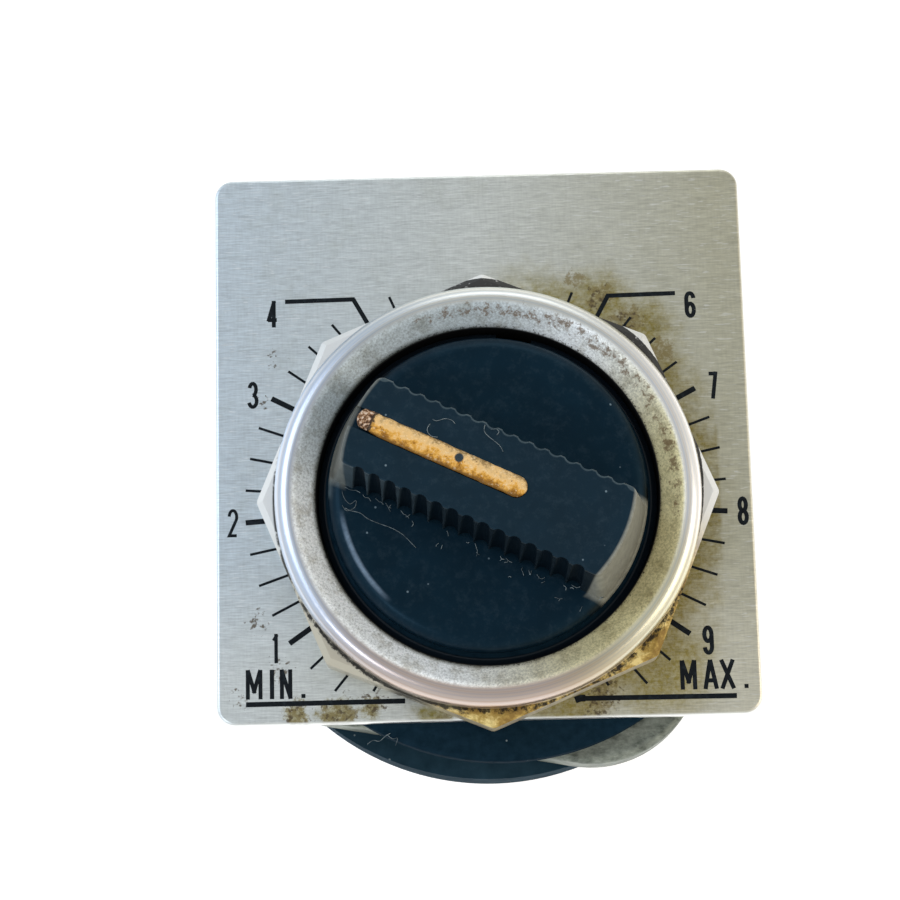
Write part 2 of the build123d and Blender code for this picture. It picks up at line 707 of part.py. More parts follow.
# Moulded base: cavity for the track, terminal block with barriers, stop post
terminal_middle = (terminal_inner + terminal_outer) / 2
with BuildPart() as pot_base:
    with BuildSketch(Plane.XY.offset(base_back)):
        Circle(base_radius)
    extrude(amount=front_plate_back - base_back)
    with BuildSketch(Plane.XY.offset(base_floor_back)) as block_outline:
        add(ring_sector(base_cavity_radius, block_radius, stop_angle, block_half_angle))
        block_corners = block_outline.vertices().sort_by_distance((0, 0))[-2:]
        fillet(block_corners, radius=block_corner_radius)
    extrude(amount=base_floor)
    with BuildSketch(Plane.XY.offset(base_floor_back)):
        barrier_middle = (barrier_inner + barrier_outer) / 2
        first_barrier = stop_angle - 1.5 * terminal_step
        with PolarLocations(barrier_middle, 4, first_barrier, 3 * terminal_step, endpoint=True):
            Rectangle(barrier_outer - barrier_inner, barrier_width)
    extrude(amount=-barrier_height)
    with BuildSketch(Plane.XY.offset(base_back)):
        add(ring_sector(base_cavity_radius, stop_post_outer, stop_angle, stop_post_half_angle))
    extrude(amount=-stop_post_height)
    with BuildSketch(Plane.XY.offset(base_back)):
        Circle(base_cavity_radius)
    extrude(amount=base_wall_height, mode=Mode.SUBTRACT)
    with BuildSketch(Plane.XY.offset(base_back)):
        Circle(base_hole_radius)
    extrude(amount=front_plate_back - base_back, mode=Mode.SUBTRACT)
    with BuildSketch(Plane.XY.offset(base_floor_back)):
        with terminal_screw_places():
            with Locations((terminal_middle - terminal_screw_circle, 0)):
                Rectangle(terminal_outer - terminal_inner, terminal_width + 2 * seat_gap)
    extrude(amount=-terminal_thickness, mode=Mode.SUBTRACT)
    with BuildSketch(Plane.XY.offset(base_floor_back)):
        with terminal_screw_places():
            Circle(terminal_screw_radius)
    extrude(amount=base_floor, mode=Mode.SUBTRACT)
pot_base.part.label = "pot_base"
export_step(pot_base.part, "parts/pot_base.step")

# Terminals: flat brass straps with rounded ends, each with a binding screw
with BuildPart() as terminals:
    with BuildSketch(Plane.XY.offset(base_floor_back)):
        with terminal_screw_places():
            with Locations((terminal_middle - terminal_screw_circle, 0)):
                strap_length = terminal_outer - terminal_inner
                RectangleRounded(strap_length, terminal_width, terminal_corner_radius)
            Circle(terminal_screw_radius + seat_gap, mode=Mode.SUBTRACT)
    extrude(amount=-terminal_thickness)
terminals.part.label = "terminals"
export_step(terminals.part, "parts/terminals.step")

screw_seat = base_floor_back - terminal_thickness
with BuildPart() as terminal_screws:
    with BuildSketch(Plane.XY.offset(screw_seat)):
        with terminal_screw_places():
            Circle(terminal_screw_radius)
    extrude(amount=terminal_thickness + base_floor - screw_tip_gap)
    with BuildSketch(Plane.XY.offset(screw_seat)):
        with terminal_screw_places():
            Circle(terminal_screw_head_radius)
    extrude(amount=-terminal_screw_head_height)
    binding_rims = terminal_screws.edges().filter_by(GeomType.CIRCLE).group_by(Axis.Z)[0]
    fillet(binding_rims, radius=terminal_screw_head_edge)
    with BuildSketch(Plane.XY.offset(screw_seat - terminal_screw_head_height)):
        with terminal_screw_places():
            Rectangle(2 * terminal_screw_head_radius, slot_width)
    extrude(amount=slot_depth, mode=Mode.SUBTRACT)
terminal_screws.part.label = "terminal_screws"
export_step(terminal_screws.part, "parts/terminal_screws.step")

# Horseshoe of resistance material, open over the dead angle
with BuildPart() as resistance_track:
    with BuildSketch(Plane.XY.offset(track_back)):
        track_half_angle = 180 - track_gap_angle / 2
        add(ring_sector(track_inner, track_outer, stop_angle + 180, track_half_angle))
    extrude(amount=track_thickness)
resistance_track.part.label = "resistance_track"
export_step(resistance_track.part, "parts/resistance_track.step")

# Collector ring with the tail that meets the middle terminal
with BuildPart() as collector_ring:
    with BuildSketch(Plane.XY.offset(track_back)):
        Circle(collector_outer)
        with PolarLocations((collector_inner + track_outer) / 2, 1, start_angle=stop_angle):
            Rectangle(track_outer - collector_inner, collector_tail_width)
        Circle(collector_inner, mode=Mode.SUBTRACT)
    extrude(amount=track_thickness)
collector_ring.part.label = "collector_ring"
export_step(collector_ring.part, "parts/collector_ring.step")

# Two carbon brushes, one on the track and one on the collector
with BuildPart() as wiper_brushes:
    with BuildSketch(pointer_plane.offset(brush_front)):
        with Locations((track_brush_circle, 0), (collector_brush_circle, 0)):
            Rectangle(brush_side, brush_side)
    extrude(amount=-brush_length)
wiper_brushes.part.label = "wiper_brushes"
export_step(wiper_brushes.part, "parts/wiper_brushes.step")

# Wiper carrier: moulded disc with brush pockets and the lug that meets the stop post
with BuildPart() as wiper_carrier:
    with BuildSketch(Plane.XY.offset(carrier_back)):
        Circle(carrier_radius)
    extrude(amount=carrier_thickness)
    with BuildSketch(Plane.XY.offset(carrier_back)):
        add(ring_sector(collector_outer, stop_lug_radius, pointer_angle, stop_lug_half_angle))
    extrude(amount=stop_lug_height)
    with BuildSketch(pointer_plane.offset(carrier_front)):
        with Locations((track_brush_circle, 0), (collector_brush_circle, 0)):
            Rectangle(brush_side + 2 * seat_gap, brush_side + 2 * seat_gap)
    extrude(amount=-(brush_length - (brush_front - carrier_front)), mode=Mode.SUBTRACT)
    with BuildSketch(Plane.XY.offset(carrier_back)):
        Circle(pot_shaft_radius)
    extrude(amount=carrier_thickness, mode=Mode.SUBTRACT)
wiper_carrier.part.label = "wiper_carrier"
export_step(wiper_carrier.part, "parts/wiper_carrier.step")

# Shaft of the potentiometer
with BuildPart() as pot_shaft:
    with BuildSketch(Plane.XY.offset(shaft_end)):
        Circle(pot_shaft_radius)
    extrude(amount=shaft_top - shaft_end)
    shaft_rims = pot_shaft.edges().filter_by(GeomType.CIRCLE)
    chamfer(shaft_rims, length=spindle_end_chamfer)
pot_shaft.part.label = "pot_shaft"
export_step(pot_shaft.part, "parts/pot_shaft.step")

# Cover: drawn steel cup, its skirt cut away over the terminal block
with BuildPart() as pot_cover:
    with BuildSketch(Plane.XY.offset(cover_back)):
        Circle(front_plate_radius)
    extrude(amount=front_plate_back - cover_back)
    cover_rim = pot_cover.faces().sort_by(Axis.Z)[0].edges()
    fillet(cover_rim, radius=cover_end_radius)
    with BuildSketch(Plane.XY.offset(cover_back + cover_end_thickness)):
        Circle(cover_inner_radius)
    extrude(amount=front_plate_back - cover_back - cover_end_thickness, mode=Mode.SUBTRACT)
    with BuildSketch(Plane.XY.offset(base_back)):
        notch_half_angle = block_half_angle + notch_side_angle
        add(ring_sector(base_cavity_radius, block_radius, stop_angle, notch_half_angle))
    extrude(amount=front_plate_back - base_back, mode=Mode.SUBTRACT)
pot_cover.part.label = "pot_cover"
export_step(pot_cover.part, "parts/pot_cover.step")
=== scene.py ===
import math
import random

import bmesh
import bpy
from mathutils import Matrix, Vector, noise


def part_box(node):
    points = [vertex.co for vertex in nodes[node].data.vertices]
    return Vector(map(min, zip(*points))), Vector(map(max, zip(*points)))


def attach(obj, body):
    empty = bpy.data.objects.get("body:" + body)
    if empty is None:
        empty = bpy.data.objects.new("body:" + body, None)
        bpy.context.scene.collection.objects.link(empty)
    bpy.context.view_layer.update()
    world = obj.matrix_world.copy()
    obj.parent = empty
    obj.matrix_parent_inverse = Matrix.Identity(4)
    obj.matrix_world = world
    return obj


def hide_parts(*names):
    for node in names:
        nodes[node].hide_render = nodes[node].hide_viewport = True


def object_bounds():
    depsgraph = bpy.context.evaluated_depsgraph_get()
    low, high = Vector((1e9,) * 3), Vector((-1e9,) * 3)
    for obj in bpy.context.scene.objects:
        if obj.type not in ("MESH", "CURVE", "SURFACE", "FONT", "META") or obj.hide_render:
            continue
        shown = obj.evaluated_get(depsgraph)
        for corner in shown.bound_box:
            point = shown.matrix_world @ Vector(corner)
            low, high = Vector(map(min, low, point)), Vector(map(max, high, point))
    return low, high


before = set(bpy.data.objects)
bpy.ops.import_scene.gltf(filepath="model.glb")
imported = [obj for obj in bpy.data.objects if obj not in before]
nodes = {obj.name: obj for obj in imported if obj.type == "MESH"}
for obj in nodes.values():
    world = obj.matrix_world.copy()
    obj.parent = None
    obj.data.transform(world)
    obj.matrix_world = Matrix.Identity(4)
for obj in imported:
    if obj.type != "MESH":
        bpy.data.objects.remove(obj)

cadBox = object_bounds()
mm = 0.001
random.seed(7)

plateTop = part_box("dial_plate")[1].z / mm  # heights in mm
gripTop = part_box("pointer_line")[1].z / mm
discTop = 6.6  # the knob's disc, under the grip
pointerAngle = 154.3  # degrees, at rest
gripWay = Vector((math.cos(math.radians(pointerAngle)), math.sin(math.radians(pointerAngle)), 0))
gripAcross = Vector((-gripWay.y, gripWay.x, 0))  # towards the viewer's lower left

camera = {
    "place": (-2.155, -42.699, 219.8),  # mm, solved from the plate, the ticks and the octagon
    "turn": (12.2647, 0.5766, -1.3393),  # degrees
    "lens": 100.0,  # mm, on a 36 mm sensor
}
cameraData = bpy.data.cameras.new("dialCamera")
cameraData.lens = camera["lens"]
cameraData.sensor_width = 36.0
cameraData.clip_start = 0.01
cameraData.clip_end = 10.0
cameraObject = bpy.data.objects.new("dialCamera", cameraData)
cameraObject.location = Vector(camera["place"]) * mm
cameraObject.rotation_euler = [math.radians(angle) for angle in camera["turn"]]
bpy.context.scene.collection.objects.link(cameraObject)
bpy.context.scene.camera = cameraObject
bpy.context.scene.view_settings.view_transform = "Standard"
print("camera set")


def linearColour(hexColour):
    channels = [int(hexColour[i:i + 2], 16) / 255 for i in (1, 3, 5)]
    return tuple(c / 12.92 if c <= 0.04045 else ((c + 0.055) / 1.055) ** 2.4 for c in channels) + (1.0,)


def openSocket(sockets, key=0):
    # a socket by its place or name, among those that the node's settings leave in use
    inUse = [socket for socket in sockets if socket.enabled]
    if isinstance(key, int):
        return inUse[key]
    return next(socket for socket in inUse if socket.name == key)


def setInputs(tree, node, inputs):
    for key, value in inputs.items():
        socket = openSocket(node.inputs, key)
        if isinstance(value, bpy.types.Node):
            value = openSocket(value.outputs)
        if isinstance(value, bpy.types.NodeSocket):
            tree.links.new(value, socket)
        elif isinstance(value, str):
            socket.default_value = linearColour(value)
        else:
            socket.default_value = value


def addNode(tree, kind, inputs, stops=None, **settings):
    node = tree.nodes.new("ShaderNode" + kind)
    for name, value in settings.items():
        setattr(node, name, value)
    if stops:  # places and colours, or greys, of a ramp
        elements = node.color_ramp.elements
        while len(elements) < len(stops):
            elements.new(0.5)
        for element, (place, value) in zip(elements, stops):
            element.position = place
            element.color = linearColour(value) if isinstance(value, str) else (value, value, value, 1)
    setInputs(tree, node, inputs)
    return node


def startMaterial(name, grains=None):
    # a new material, its place in mm and its noises, each as size in mm, detail and roughness
    material = bpy.data.materials.new(name)
    material.use_nodes = True
    tree = material.node_tree
    place = addNode(tree, "TexCoord", {})
    inMm = addNode(tree, "Mapping", {"Vector": place.outputs["Object"], "Scale": (1000, 1000, 1000)})
    noises = {}
    for grain, (size, detail, roughness) in (grains or {}).items():
        noises[grain] = addNode(tree, "TexNoise", {"Vector": inMm, "Scale": 1 / size, "Detail": detail,
                                                   "Roughness": roughness})
    return material, tree, tree.nodes["Principled BSDF"], inMm, noises


def dress(material, *names):
    for name in names:
        for slot in nodes[name].material_slots:
            slot.material = material


def readMasks(tree, measures, table, ease="LINEAR"):
    # masks by name, each as its measure, where it starts, where it is whole, and its amounts there
    masks = {}
    for name, (measure, start, whole, *amounts) in table.items():
        low, high = amounts or (0, 1)
        masks[name] = addNode(tree, "MapRange", {"Value": measures[measure], "From Min": start,
                                                 "From Max": whole, "To Min": low, "To Max": high},
                              interpolation_type=ease)
    return masks


def product(tree, *masks):
    # where every one of the masks holds
    whole = masks[0]
    for mask in masks[1:]:
        whole = addNode(tree, "Math", {0: whole, 1: mask}, operation="MULTIPLY")
    return whole


def greatest(tree, *masks):
    # where any one of the masks holds
    whole = masks[0]
    for mask in masks[1:]:
        whole = addNode(tree, "Math", {0: whole, 1: mask}, operation="MAXIMUM")
    return whole


def coat(tree, colour, *layers):
    # colours laid one over another, each as its amount, its colour and, if need be, how it blends
    for amount, over, *blend in layers:
        colour = addNode(tree, "Mix", {"Factor": amount, "A": colour, "B": over}, data_type="RGBA",
                         blend_type=blend[0] if blend else "MIX")
    return colour


def patchMask(tree, place, spots):
    # the greatest of several soft round patches, each (x, y, reach) in mm on the plate's face
    patches = []
    for x, y, reach in spots:
        away = addNode(tree, "VectorMath", {0: place, 1: (x, y, plateTop)}, operation="DISTANCE")
        patch = addNode(tree, "MapRange", {"Value": away, "From Min": reach, "From Max": reach * 0.25},
                        interpolation_type="SMOOTHSTEP")
        patches.append(patch)
    return greatest(tree, *patches)


def dustSpecks(tree, inMm, spacing, strength):
    # sparse round specks, a tenth of a millimetre across
    spots = addNode(tree, "TexVoronoi", {"Vector": inMm, "Scale": 1 / spacing})
    return addNode(tree, "MapRange", {"Value": spots, "From Min": 0.12 / spacing, "From Max": 0.06 / spacing,
                                      "To Max": strength})


def lineNoise(tree, inMm, length, width, turn, detail, roughness, distortion):
    # noise drawn out into lines: mm, mm and radians
    place = addNode(tree, "Mapping", {"Vector": inMm, "Scale": (1 / length, 1 / width, 1),
                                      "Rotation": (0, 0, turn)})
    return addNode(tree, "TexNoise", {"Vector": place, "Scale": 1, "Detail": detail, "Roughness": roughness,
                                      "Distortion": distortion})


def ringParts(tree, inMm):
    # the direction from the knob's axis, and measures: mm along x, y, z and from the axis, and how far
    # a face looks up
    split = addNode(tree, "SeparateXYZ", {0: inMm})
    flat = addNode(tree, "CombineXYZ", {0: split.outputs["X"], 1: split.outputs["Y"]})
    way = addNode(tree, "VectorMath", {0: flat}, operation="NORMALIZE")
    shape = addNode(tree, "NewGeometry", {})
    upright = addNode(tree, "SeparateXYZ", {0: shape.outputs["Normal"]})
    measures = {axis: split.outputs[axis.upper()] for axis in "xyz"}
    measures["radius"] = addNode(tree, "VectorMath", {0: flat}, operation="LENGTH")
    measures["up"] = upright.outputs["Z"]
    return way, measures


def facing(tree, way, degrees, low, high):
    # 0 to 1 as a place on a ring comes round to one direction; low and high are cosines
    ray = (math.cos(math.radians(degrees)), math.sin(math.radians(degrees)), 0)
    towards = addNode(tree, "VectorMath", {0: way, 1: ray}, operation="DOT_PRODUCT")
    return addNode(tree, "MapRange", {"Value": towards, "From Min": low, "From Max": high},
                   interpolation_type="SMOOTHSTEP")


# Brushed aluminium sheet, its clear finish worn: fine level lines, a soft sheen, yellowed by handling;
# painted light in its tones
plateFinish = {
    "upperPaintedLight": [(0.0, "#c8d3da"), (0.5, "#d5d9d5"), (0.95, "#c3c1ad")],  # painted light, cool on the left to warm on the right
    # painted light towards the bottom of the sheet
    "lowerPaintedLight": [(0.0, "#d7dcdb"), (1.0, "#dad7c5")],
    # brush lines, broad bands, lines across them and scratches from cleaning: length, width and turn, then
    # detail, roughness and distortion; the brush lines are twice as coarse as real ones, so that they show
    "lines": [(1.6, 0.14, 0, 4, 0.65, 0), (9, 0.7, 0, 2, 0.5, 0), (0.2, 1.6, 0.06, 3, 0.5, 0),
              (1.3, 0.13, 0.7, 1, 0.5, 0.6)],
    "grains": {"cloud": (3, 6, 0.7), "drift": (2.2, 6, 0.7), "mottle": (0.5, 7, 0.75),
               "grit": (0.42, 4, 0.6)},
    "masks": {
        "rightward": ("x", -24, 24),
        "downward": ("y", -4, -15),
        "bloom": ("cloud", 0.5, 0.7, 0, 0.16),
        "wobble": ("drift", 0.3, 0.7, -1.6, 1.6),
        "wiped": ("x", 20.6, 20.9, 1, 0.25),  # the strip right of this was cleaned
        "uneven": ("mottle", 0.3, 0.7, 0.55, 1.15),
        # where the painted highlight lies on the sheet's edges
        "edgeHighlight": ("up", 0.97, 0.7, 0, 0.85),
    },
    "roughness": (0.38, 0.55),  # bare and greasy
    "haze": "#b9b59a",
    "scratched": "#f2f4f4",
    "halo": (18.9, 23.8),  # mm from the axis, grease spread from the nut
    "haloWay": (0, -0.12, 0.35),
    "grease": "#ad9f60",
    "crust": "#776a40",
    "crumb": "#4a3c24",
    "edge": "#f3f4f2",  # painted highlight along the sheet's cut edges
    # x, y and reach in mm
    "greaseSpots": [(10.5, 18.2, 4.5), (14.2, 15.6, 4.5), (14.8, -15, 7), (7, -18.6, 5), (-5.5, -19, 2),
                    (-10.8, -18.2, 1.6), (-13.6, -18.7, 2), (-17, -18.5, 1.6)],
    "crustSpots": [(8.4, 20.4, 2), (10.6, 18.8, 2.4), (13.2, 16.6, 3), (15.8, 13.6, 2.2), (-10.8, -18, 2.2),
                   (-13.4, -18.7, 3), (-17, -18.5, 2.2), (-4.5, -19.2, 1.8), (9.6, -17.6, 3)],
    "crumbSpots": [(-20.8, -10.2, 1.6), (-18.6, -14.4, 2.2), (-16.9, -18.2, 2.8), (-13.4, -18.6, 3.2),
                   (-10.4, -17.6, 3), (-22.6, -17, 1.6), (10.4, 18.8, 2.4), (13.4, 16.4, 2.6),
                   (9.6, -17.8, 4), (-19.8, 9.4, 1.5), (-18.6, 13.6, 1.2)],
}


def brushedAluminium(finish):
    material, tree, shader, inMm, grains = startMaterial("brushedAluminium", finish["grains"])
    way, measures = ringParts(tree, inMm)
    mask = readMasks(tree, {**measures, **grains}, finish["masks"])
    # painted light: the sheet's tones run cool on the left to warm on the right, with other tones towards
    # the bottom
    upper = addNode(tree, "ValToRGB", {0: mask["rightward"]}, stops=finish["upperPaintedLight"])
    lower = addNode(tree, "ValToRGB", {0: mask["rightward"]}, stops=finish["lowerPaintedLight"])
    brushing, bands, crossing, scratches = [lineNoise(tree, inMm, *line) for line in finish["lines"]]
    levelLines = addNode(tree, "Mix", {"Factor": 0.18, "A": brushing, "B": bands})
    allLines = addNode(tree, "Mix", {"Factor": 0.16, "A": levelLines, "B": crossing})

    # Grease: a halo round the nut's right side and smears below, ragged, with crusts and loose crumbs
    moved = addNode(tree, "VectorMath", {0: grains["drift"].outputs["Color"], 1: (5, 5, 0), 2: inMm},
                    operation="MULTIPLY_ADD")
    ragged = addNode(tree, "VectorMath", {0: moved, 1: (2.5, 2.5, 0)}, operation="SUBTRACT")
    near, far = finish["halo"]
    unevenRadius = addNode(tree, "Math", {0: measures["radius"], 1: mask["wobble"]}, operation="ADD")
    halo = addNode(tree, "MapRange", {"Value": unevenRadius, "From Min": far, "From Max": near},
                   interpolation_type="SMOOTHSTEP")
    sideHalo = product(tree, halo, facing(tree, way, *finish["haloWay"]))
    spots = {kind: patchMask(tree, ragged, finish[kind + "Spots"]) for kind in ("grease", "crust", "crumb")}
    left = product(tree, greatest(tree, sideHalo, spots["grease"]), mask["wiped"])
    greasy = addNode(tree, "Math", {0: left, 1: mask["uneven"]}, operation="MULTIPLY", use_clamp=True)
    crustLift = addNode(tree, "Mix", {"Factor": 0.3, "A": grains["mottle"], "B": spots["crust"]})
    crumbLift = addNode(tree, "Mix", {"Factor": 0.22, "A": grains["grit"], "B": spots["crumb"]})
    laid = readMasks(tree, {"lines": allLines, "scratches": scratches, "crust": crustLift,
                            "crumb": crumbLift, "grease": greasy}, {
        "shade": ("lines", 0.35, 0.65, 0.8, 1.2),
        "scratch": ("scratches", 0.63, 0.7, 0, 0.4),
        "crust": ("crust", 0.57, 0.66, 0, 0.8),
        "crumb": ("crumb", 0.62, 0.7, 0, 0.9),
        "rough": ("grease", 0, 1, *finish["roughness"]),
    })
    covered = greatest(tree, laid["crumb"], laid["crust"])
    bare = addNode(tree, "MapRange", {"Value": covered, "To Min": 1, "To Max": 0.1})
    bump = addNode(tree, "Bump", {"Height": allLines, "Strength": 0.25, "Distance": 0.02 * mm})
    colour = coat(tree, upper, (mask["downward"], lower), (1.0, laid["shade"], "MULTIPLY"),
                  (mask["bloom"], finish["haze"], "MULTIPLY"), (laid["scratch"], finish["scratched"]),
                  (greasy, finish["grease"], "MULTIPLY"), (laid["crust"], finish["crust"]),
                  (laid["crumb"], finish["crumb"]), (mask["edgeHighlight"], finish["edge"]))
    setInputs(tree, shader, {"Base Color": colour, "Metallic": bare, "Roughness": laid["rough"],
                             "Normal": bump})
    return material


dress(brushedAluminium(plateFinish), "dial_plate")
print("dial plate dressed")


# Screen-printed epoxy ink: dead black, dry, rubbed a little thin
inkFinish = {"ink": "#0b1116", "worn": "#20282d", "grains": {"wear": (0.5, 4, 0.5)}}


def screenPrintInk(finish):
    material, tree, shader, _, grains = startMaterial("screenPrintInk", finish["grains"])
    wear = grains["wear"]
    colour = addNode(tree, "ValToRGB", {0: wear}, stops=[(0.5, finish["ink"]), (0.78, finish["worn"])])
    bump = addNode(tree, "Bump", {"Height": wear, "Strength": 0.3, "Distance": 0.01 * mm})
    setInputs(tree, shader, {"Base Color": colour, "Roughness": 0.6, "Specular IOR Level": 0.12,
                             "Normal": bump})
    return material


def arc(middleX, middleY, radiusX, radiusY, start, end, steps=14):
    points = []
    for i in range(steps + 1):
        angle = math.radians(start + (end - start) * i / steps)
        points.append((middleX + radiusX * math.cos(angle), middleY + radiusY * math.sin(angle)))
    return points


def ribbon(mesh, points, width, low, high):
    # a flat bar along a line, with mitred bends
    points = [Vector(p) for p in points]
    left, right = [], []
    for i, point in enumerate(points):
        before = (point - points[i - 1]).normalized() if i else (points[1] - point).normalized()
        after = (points[i + 1] - point).normalized() if i + 1 < len(points) else before
        across = Vector((-(before.y + after.y), before.x + after.x)).normalized()
        reach = min(width / 2 / max(across.dot(Vector((-before.y, before.x))), 0.3), width)
        left.append(point + across * reach)
        right.append(point - across * reach)
    rows = []
    for outline, height in ((left, high), (right, high), (right, low), (left, low)):
        rows.append([mesh.verts.new((p.x * mm, p.y * mm, height * mm)) for p in outline])
    for i in range(len(points) - 1):
        for a, b in ((0, 1), (1, 2), (2, 3), (3, 0)):
            mesh.faces.new((rows[a][i], rows[b][i], rows[b][i + 1], rows[a][i + 1]))
    for i in (0, -1):
        mesh.faces.new([row[i] for row in rows])


def finishMesh(name, mesh, material, body, smooth=False):
    bmesh.ops.recalc_face_normals(mesh, faces=mesh.faces)
    data = bpy.data.meshes.new(name)
    mesh.to_mesh(data)
    mesh.free()
    for polygon in data.polygons:
        polygon.use_smooth = smooth
    piece = bpy.data.objects.new(name, data)
    piece.data.materials.append(material)
    bpy.context.scene.collection.objects.link(piece)
    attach(piece, body)
    return piece


# Condensed figures and capitals as strokes in a unit box; a pair of points is a straight stroke
letters = {
    "1": [[(0.0, 0.86), (0.75, 0.97)], [(0.7, 1), (0.7, 0)]],
    "2": [arc(0.5, 0.74, 0.5, 0.26, 175, -25) + [(0, 0.0), (1, 0.0)]],
    "3": [arc(0.46, 0.745, 0.46, 0.255, 165, -90, 12), arc(0.46, 0.25, 0.54, 0.25, 90, -165, 12)],
    "4": [[(0.7, 0), (0.7, 1)], [(0.7, 0.98), (0, 0.26)], [(-0.12, 0.24), (1.12, 0.24)]],
    "6": [arc(0.5, 0.27, 0.5, 0.27, 0, 360, 18), [(0, 0.27), (0, 0.74)] + arc(0.5, 0.76, 0.5, 0.24, 180, 5)],
    "7": [[(-0.2, 1), (1.2, 1)], [(1, 1), (0.42, 0)]],
    "8": [arc(0.5, 0.755, 0.45, 0.245, -90, 270, 18), arc(0.5, 0.25, 0.5, 0.25, 90, 450, 18)],
    "9": [arc(0.5, 0.73, 0.5, 0.27, 0, 360, 18),
          [(1, 0.73), (1, 0.26)] + arc(0.5, 0.24, 0.5, 0.24, 0, -175)],
    "M": [[(0, 0), (0, 1)], [(1, 0), (1, 1)], [(0.05, 1), (0.5, 0.24)], [(0.95, 1), (0.5, 0.24)]],
    "I": [[(0.5, 0), (0.5, 1)]],
    "N": [[(0, 0), (0, 1)], [(1, 0), (1, 1)], [(0.03, 1), (0.97, 0)]],
    "A": [[(0, 0), (0.46, 1)], [(1, 0), (0.54, 1)], [(0.2, 0.26), (0.8, 0.26)]],
    "X": [[(0, 0), (1, 1)], [(0, 1), (1, 0)]],
}
scale = {
    "middle": (-0.14, 0.08),  # mm, the printed circle is a little off the axis
    "inner": 18.0,  # mm, under the nut
    "outer": 21.5,
    "shorterOuter": {0: 19.4, 0.25: 19.4, 0.5: 19.4, 0.75: 20.9, 4.75: 19.6},  # by steps away from the top
    "step": 31.2,  # degrees between numbers
    "fineWidth": 0.23,
    "boldWidth": 0.48,
    "leaderWidth": 0.4,
    "underlineWidth": 0.44,
    "low": plateTop - 0.005,  # mm, the ink's foot and face
    "high": plateTop + 0.015,
    # text, middle x, middle y, width, height and stroke in mm
    "figures": [
        ("4", -19.06, 17.92, 1.0, 2.5, 0.36), ("3", -20.86, 10.4, 0.98, 2.5, 0.33),
        ("2", -22.73, -1.27, 0.94, 2.55, 0.27), ("1", -19.02, -12.6, 0.5, 2.6, 0.31),
        ("6", 18.82, 17.84, 1.02, 2.5, 0.37), ("7", 20.56, 10.28, 0.86, 2.5, 0.35),
        ("8", 22.69, -1.29, 1.0, 2.6, 0.37), ("9", 19.07, -12.79, 1.0, 2.6, 0.37),
    ],
    "words": [
        ("M", -20.94, -15.75, 1.46, 2.6, 0.35), ("I", -19.37, -15.76, 0.38, 2.6, 0.38),
        ("N", -18.13, -15.77, 1.1, 2.6, 0.36), ("M", 17.21, -15.82, 1.46, 2.58, 0.37),
        ("A", 19.15, -15.82, 1.3, 2.58, 0.37), ("X", 20.64, -15.83, 1.26, 2.58, 0.37),
    ],
    "stops": [(-16.62, -16.85), (22.25, -16.92)],  # full stops
}


def tickMesh(scale):
    mesh = bmesh.new()
    middle = Vector(scale["middle"])
    for quarter in range(1, 40):
        number = quarter / 4
        if number in (4, 6):  # these two have leader lines
            continue
        outer = scale["shorterOuter"].get(abs(number - 5), scale["outer"])
        angle = math.radians(90 + (5 - number) * scale["step"])
        ray = Vector((math.cos(angle), math.sin(angle)))
        width = scale["fineWidth"] if quarter % 4 else scale["boldWidth"]
        line = [middle + ray * scale["inner"], middle + ray * outer]
        ribbon(mesh, line, width, scale["low"], scale["high"])
    return mesh


def letteringMesh(group, scale):
    mesh = bmesh.new()
    for text, middleX, middleY, width, height, stroke in group:
        box = Vector((width - stroke, height - stroke))
        corner = Vector((middleX, middleY)) - box / 2
        for i, line in enumerate(letters[text]):
            points = [corner + Vector((x * box.x, y * box.y)) for x, y in line]
            if len(points) == 2:  # upright strokes end square, at the full height
                way = (points[1] - points[0]).normalized()
                if abs(way.y) > 0.5:
                    points = [points[0] - way * stroke / 2, points[1] + way * stroke / 2]
            ribbon(mesh, points, stroke, scale["low"], scale["high"] + 0.001 * i)
    return mesh


printInk = screenPrintInk(inkFinish)
finishMesh("scaleTicks", tickMesh(scale), printInk, "root")

leaderLines = bmesh.new()
for line in ([(-17.9, 19.05), (-11.7, 19.12), (-10.2, 16.4)], [(17.5, 18.95), (11.4, 18.86), (10.05, 16.4)]):
    ribbon(leaderLines, line, scale["leaderWidth"], scale["low"], scale["high"])
for line in ([(-21.66, -17.5), (-7.7, -17.5)], [(7.6, -17.66), (21.37, -17.74)]):
    ribbon(leaderLines, line, scale["underlineWidth"], scale["low"], scale["high"])
blob = [(7.2, -17.8), (7.45, -17.7), (7.75, -17.62), (8.1, -17.64)]  # where the ink ran
ribbon(leaderLines, blob, 0.6, scale["low"], scale["high"] + 0.002)
finishMesh("scaleLeaders", leaderLines, printInk, "root")

finishMesh("scaleNumbers", letteringMesh(scale["figures"], scale), printInk, "root")
wordMesh = letteringMesh(scale["words"], scale)
for x, y in scale["stops"]:
    ribbon(wordMesh, [(x - 0.18, y), (x + 0.18, y)], 0.36, scale["low"], scale["high"])
finishMesh("endWords", wordMesh, printInk, "root")
print("scale printed")
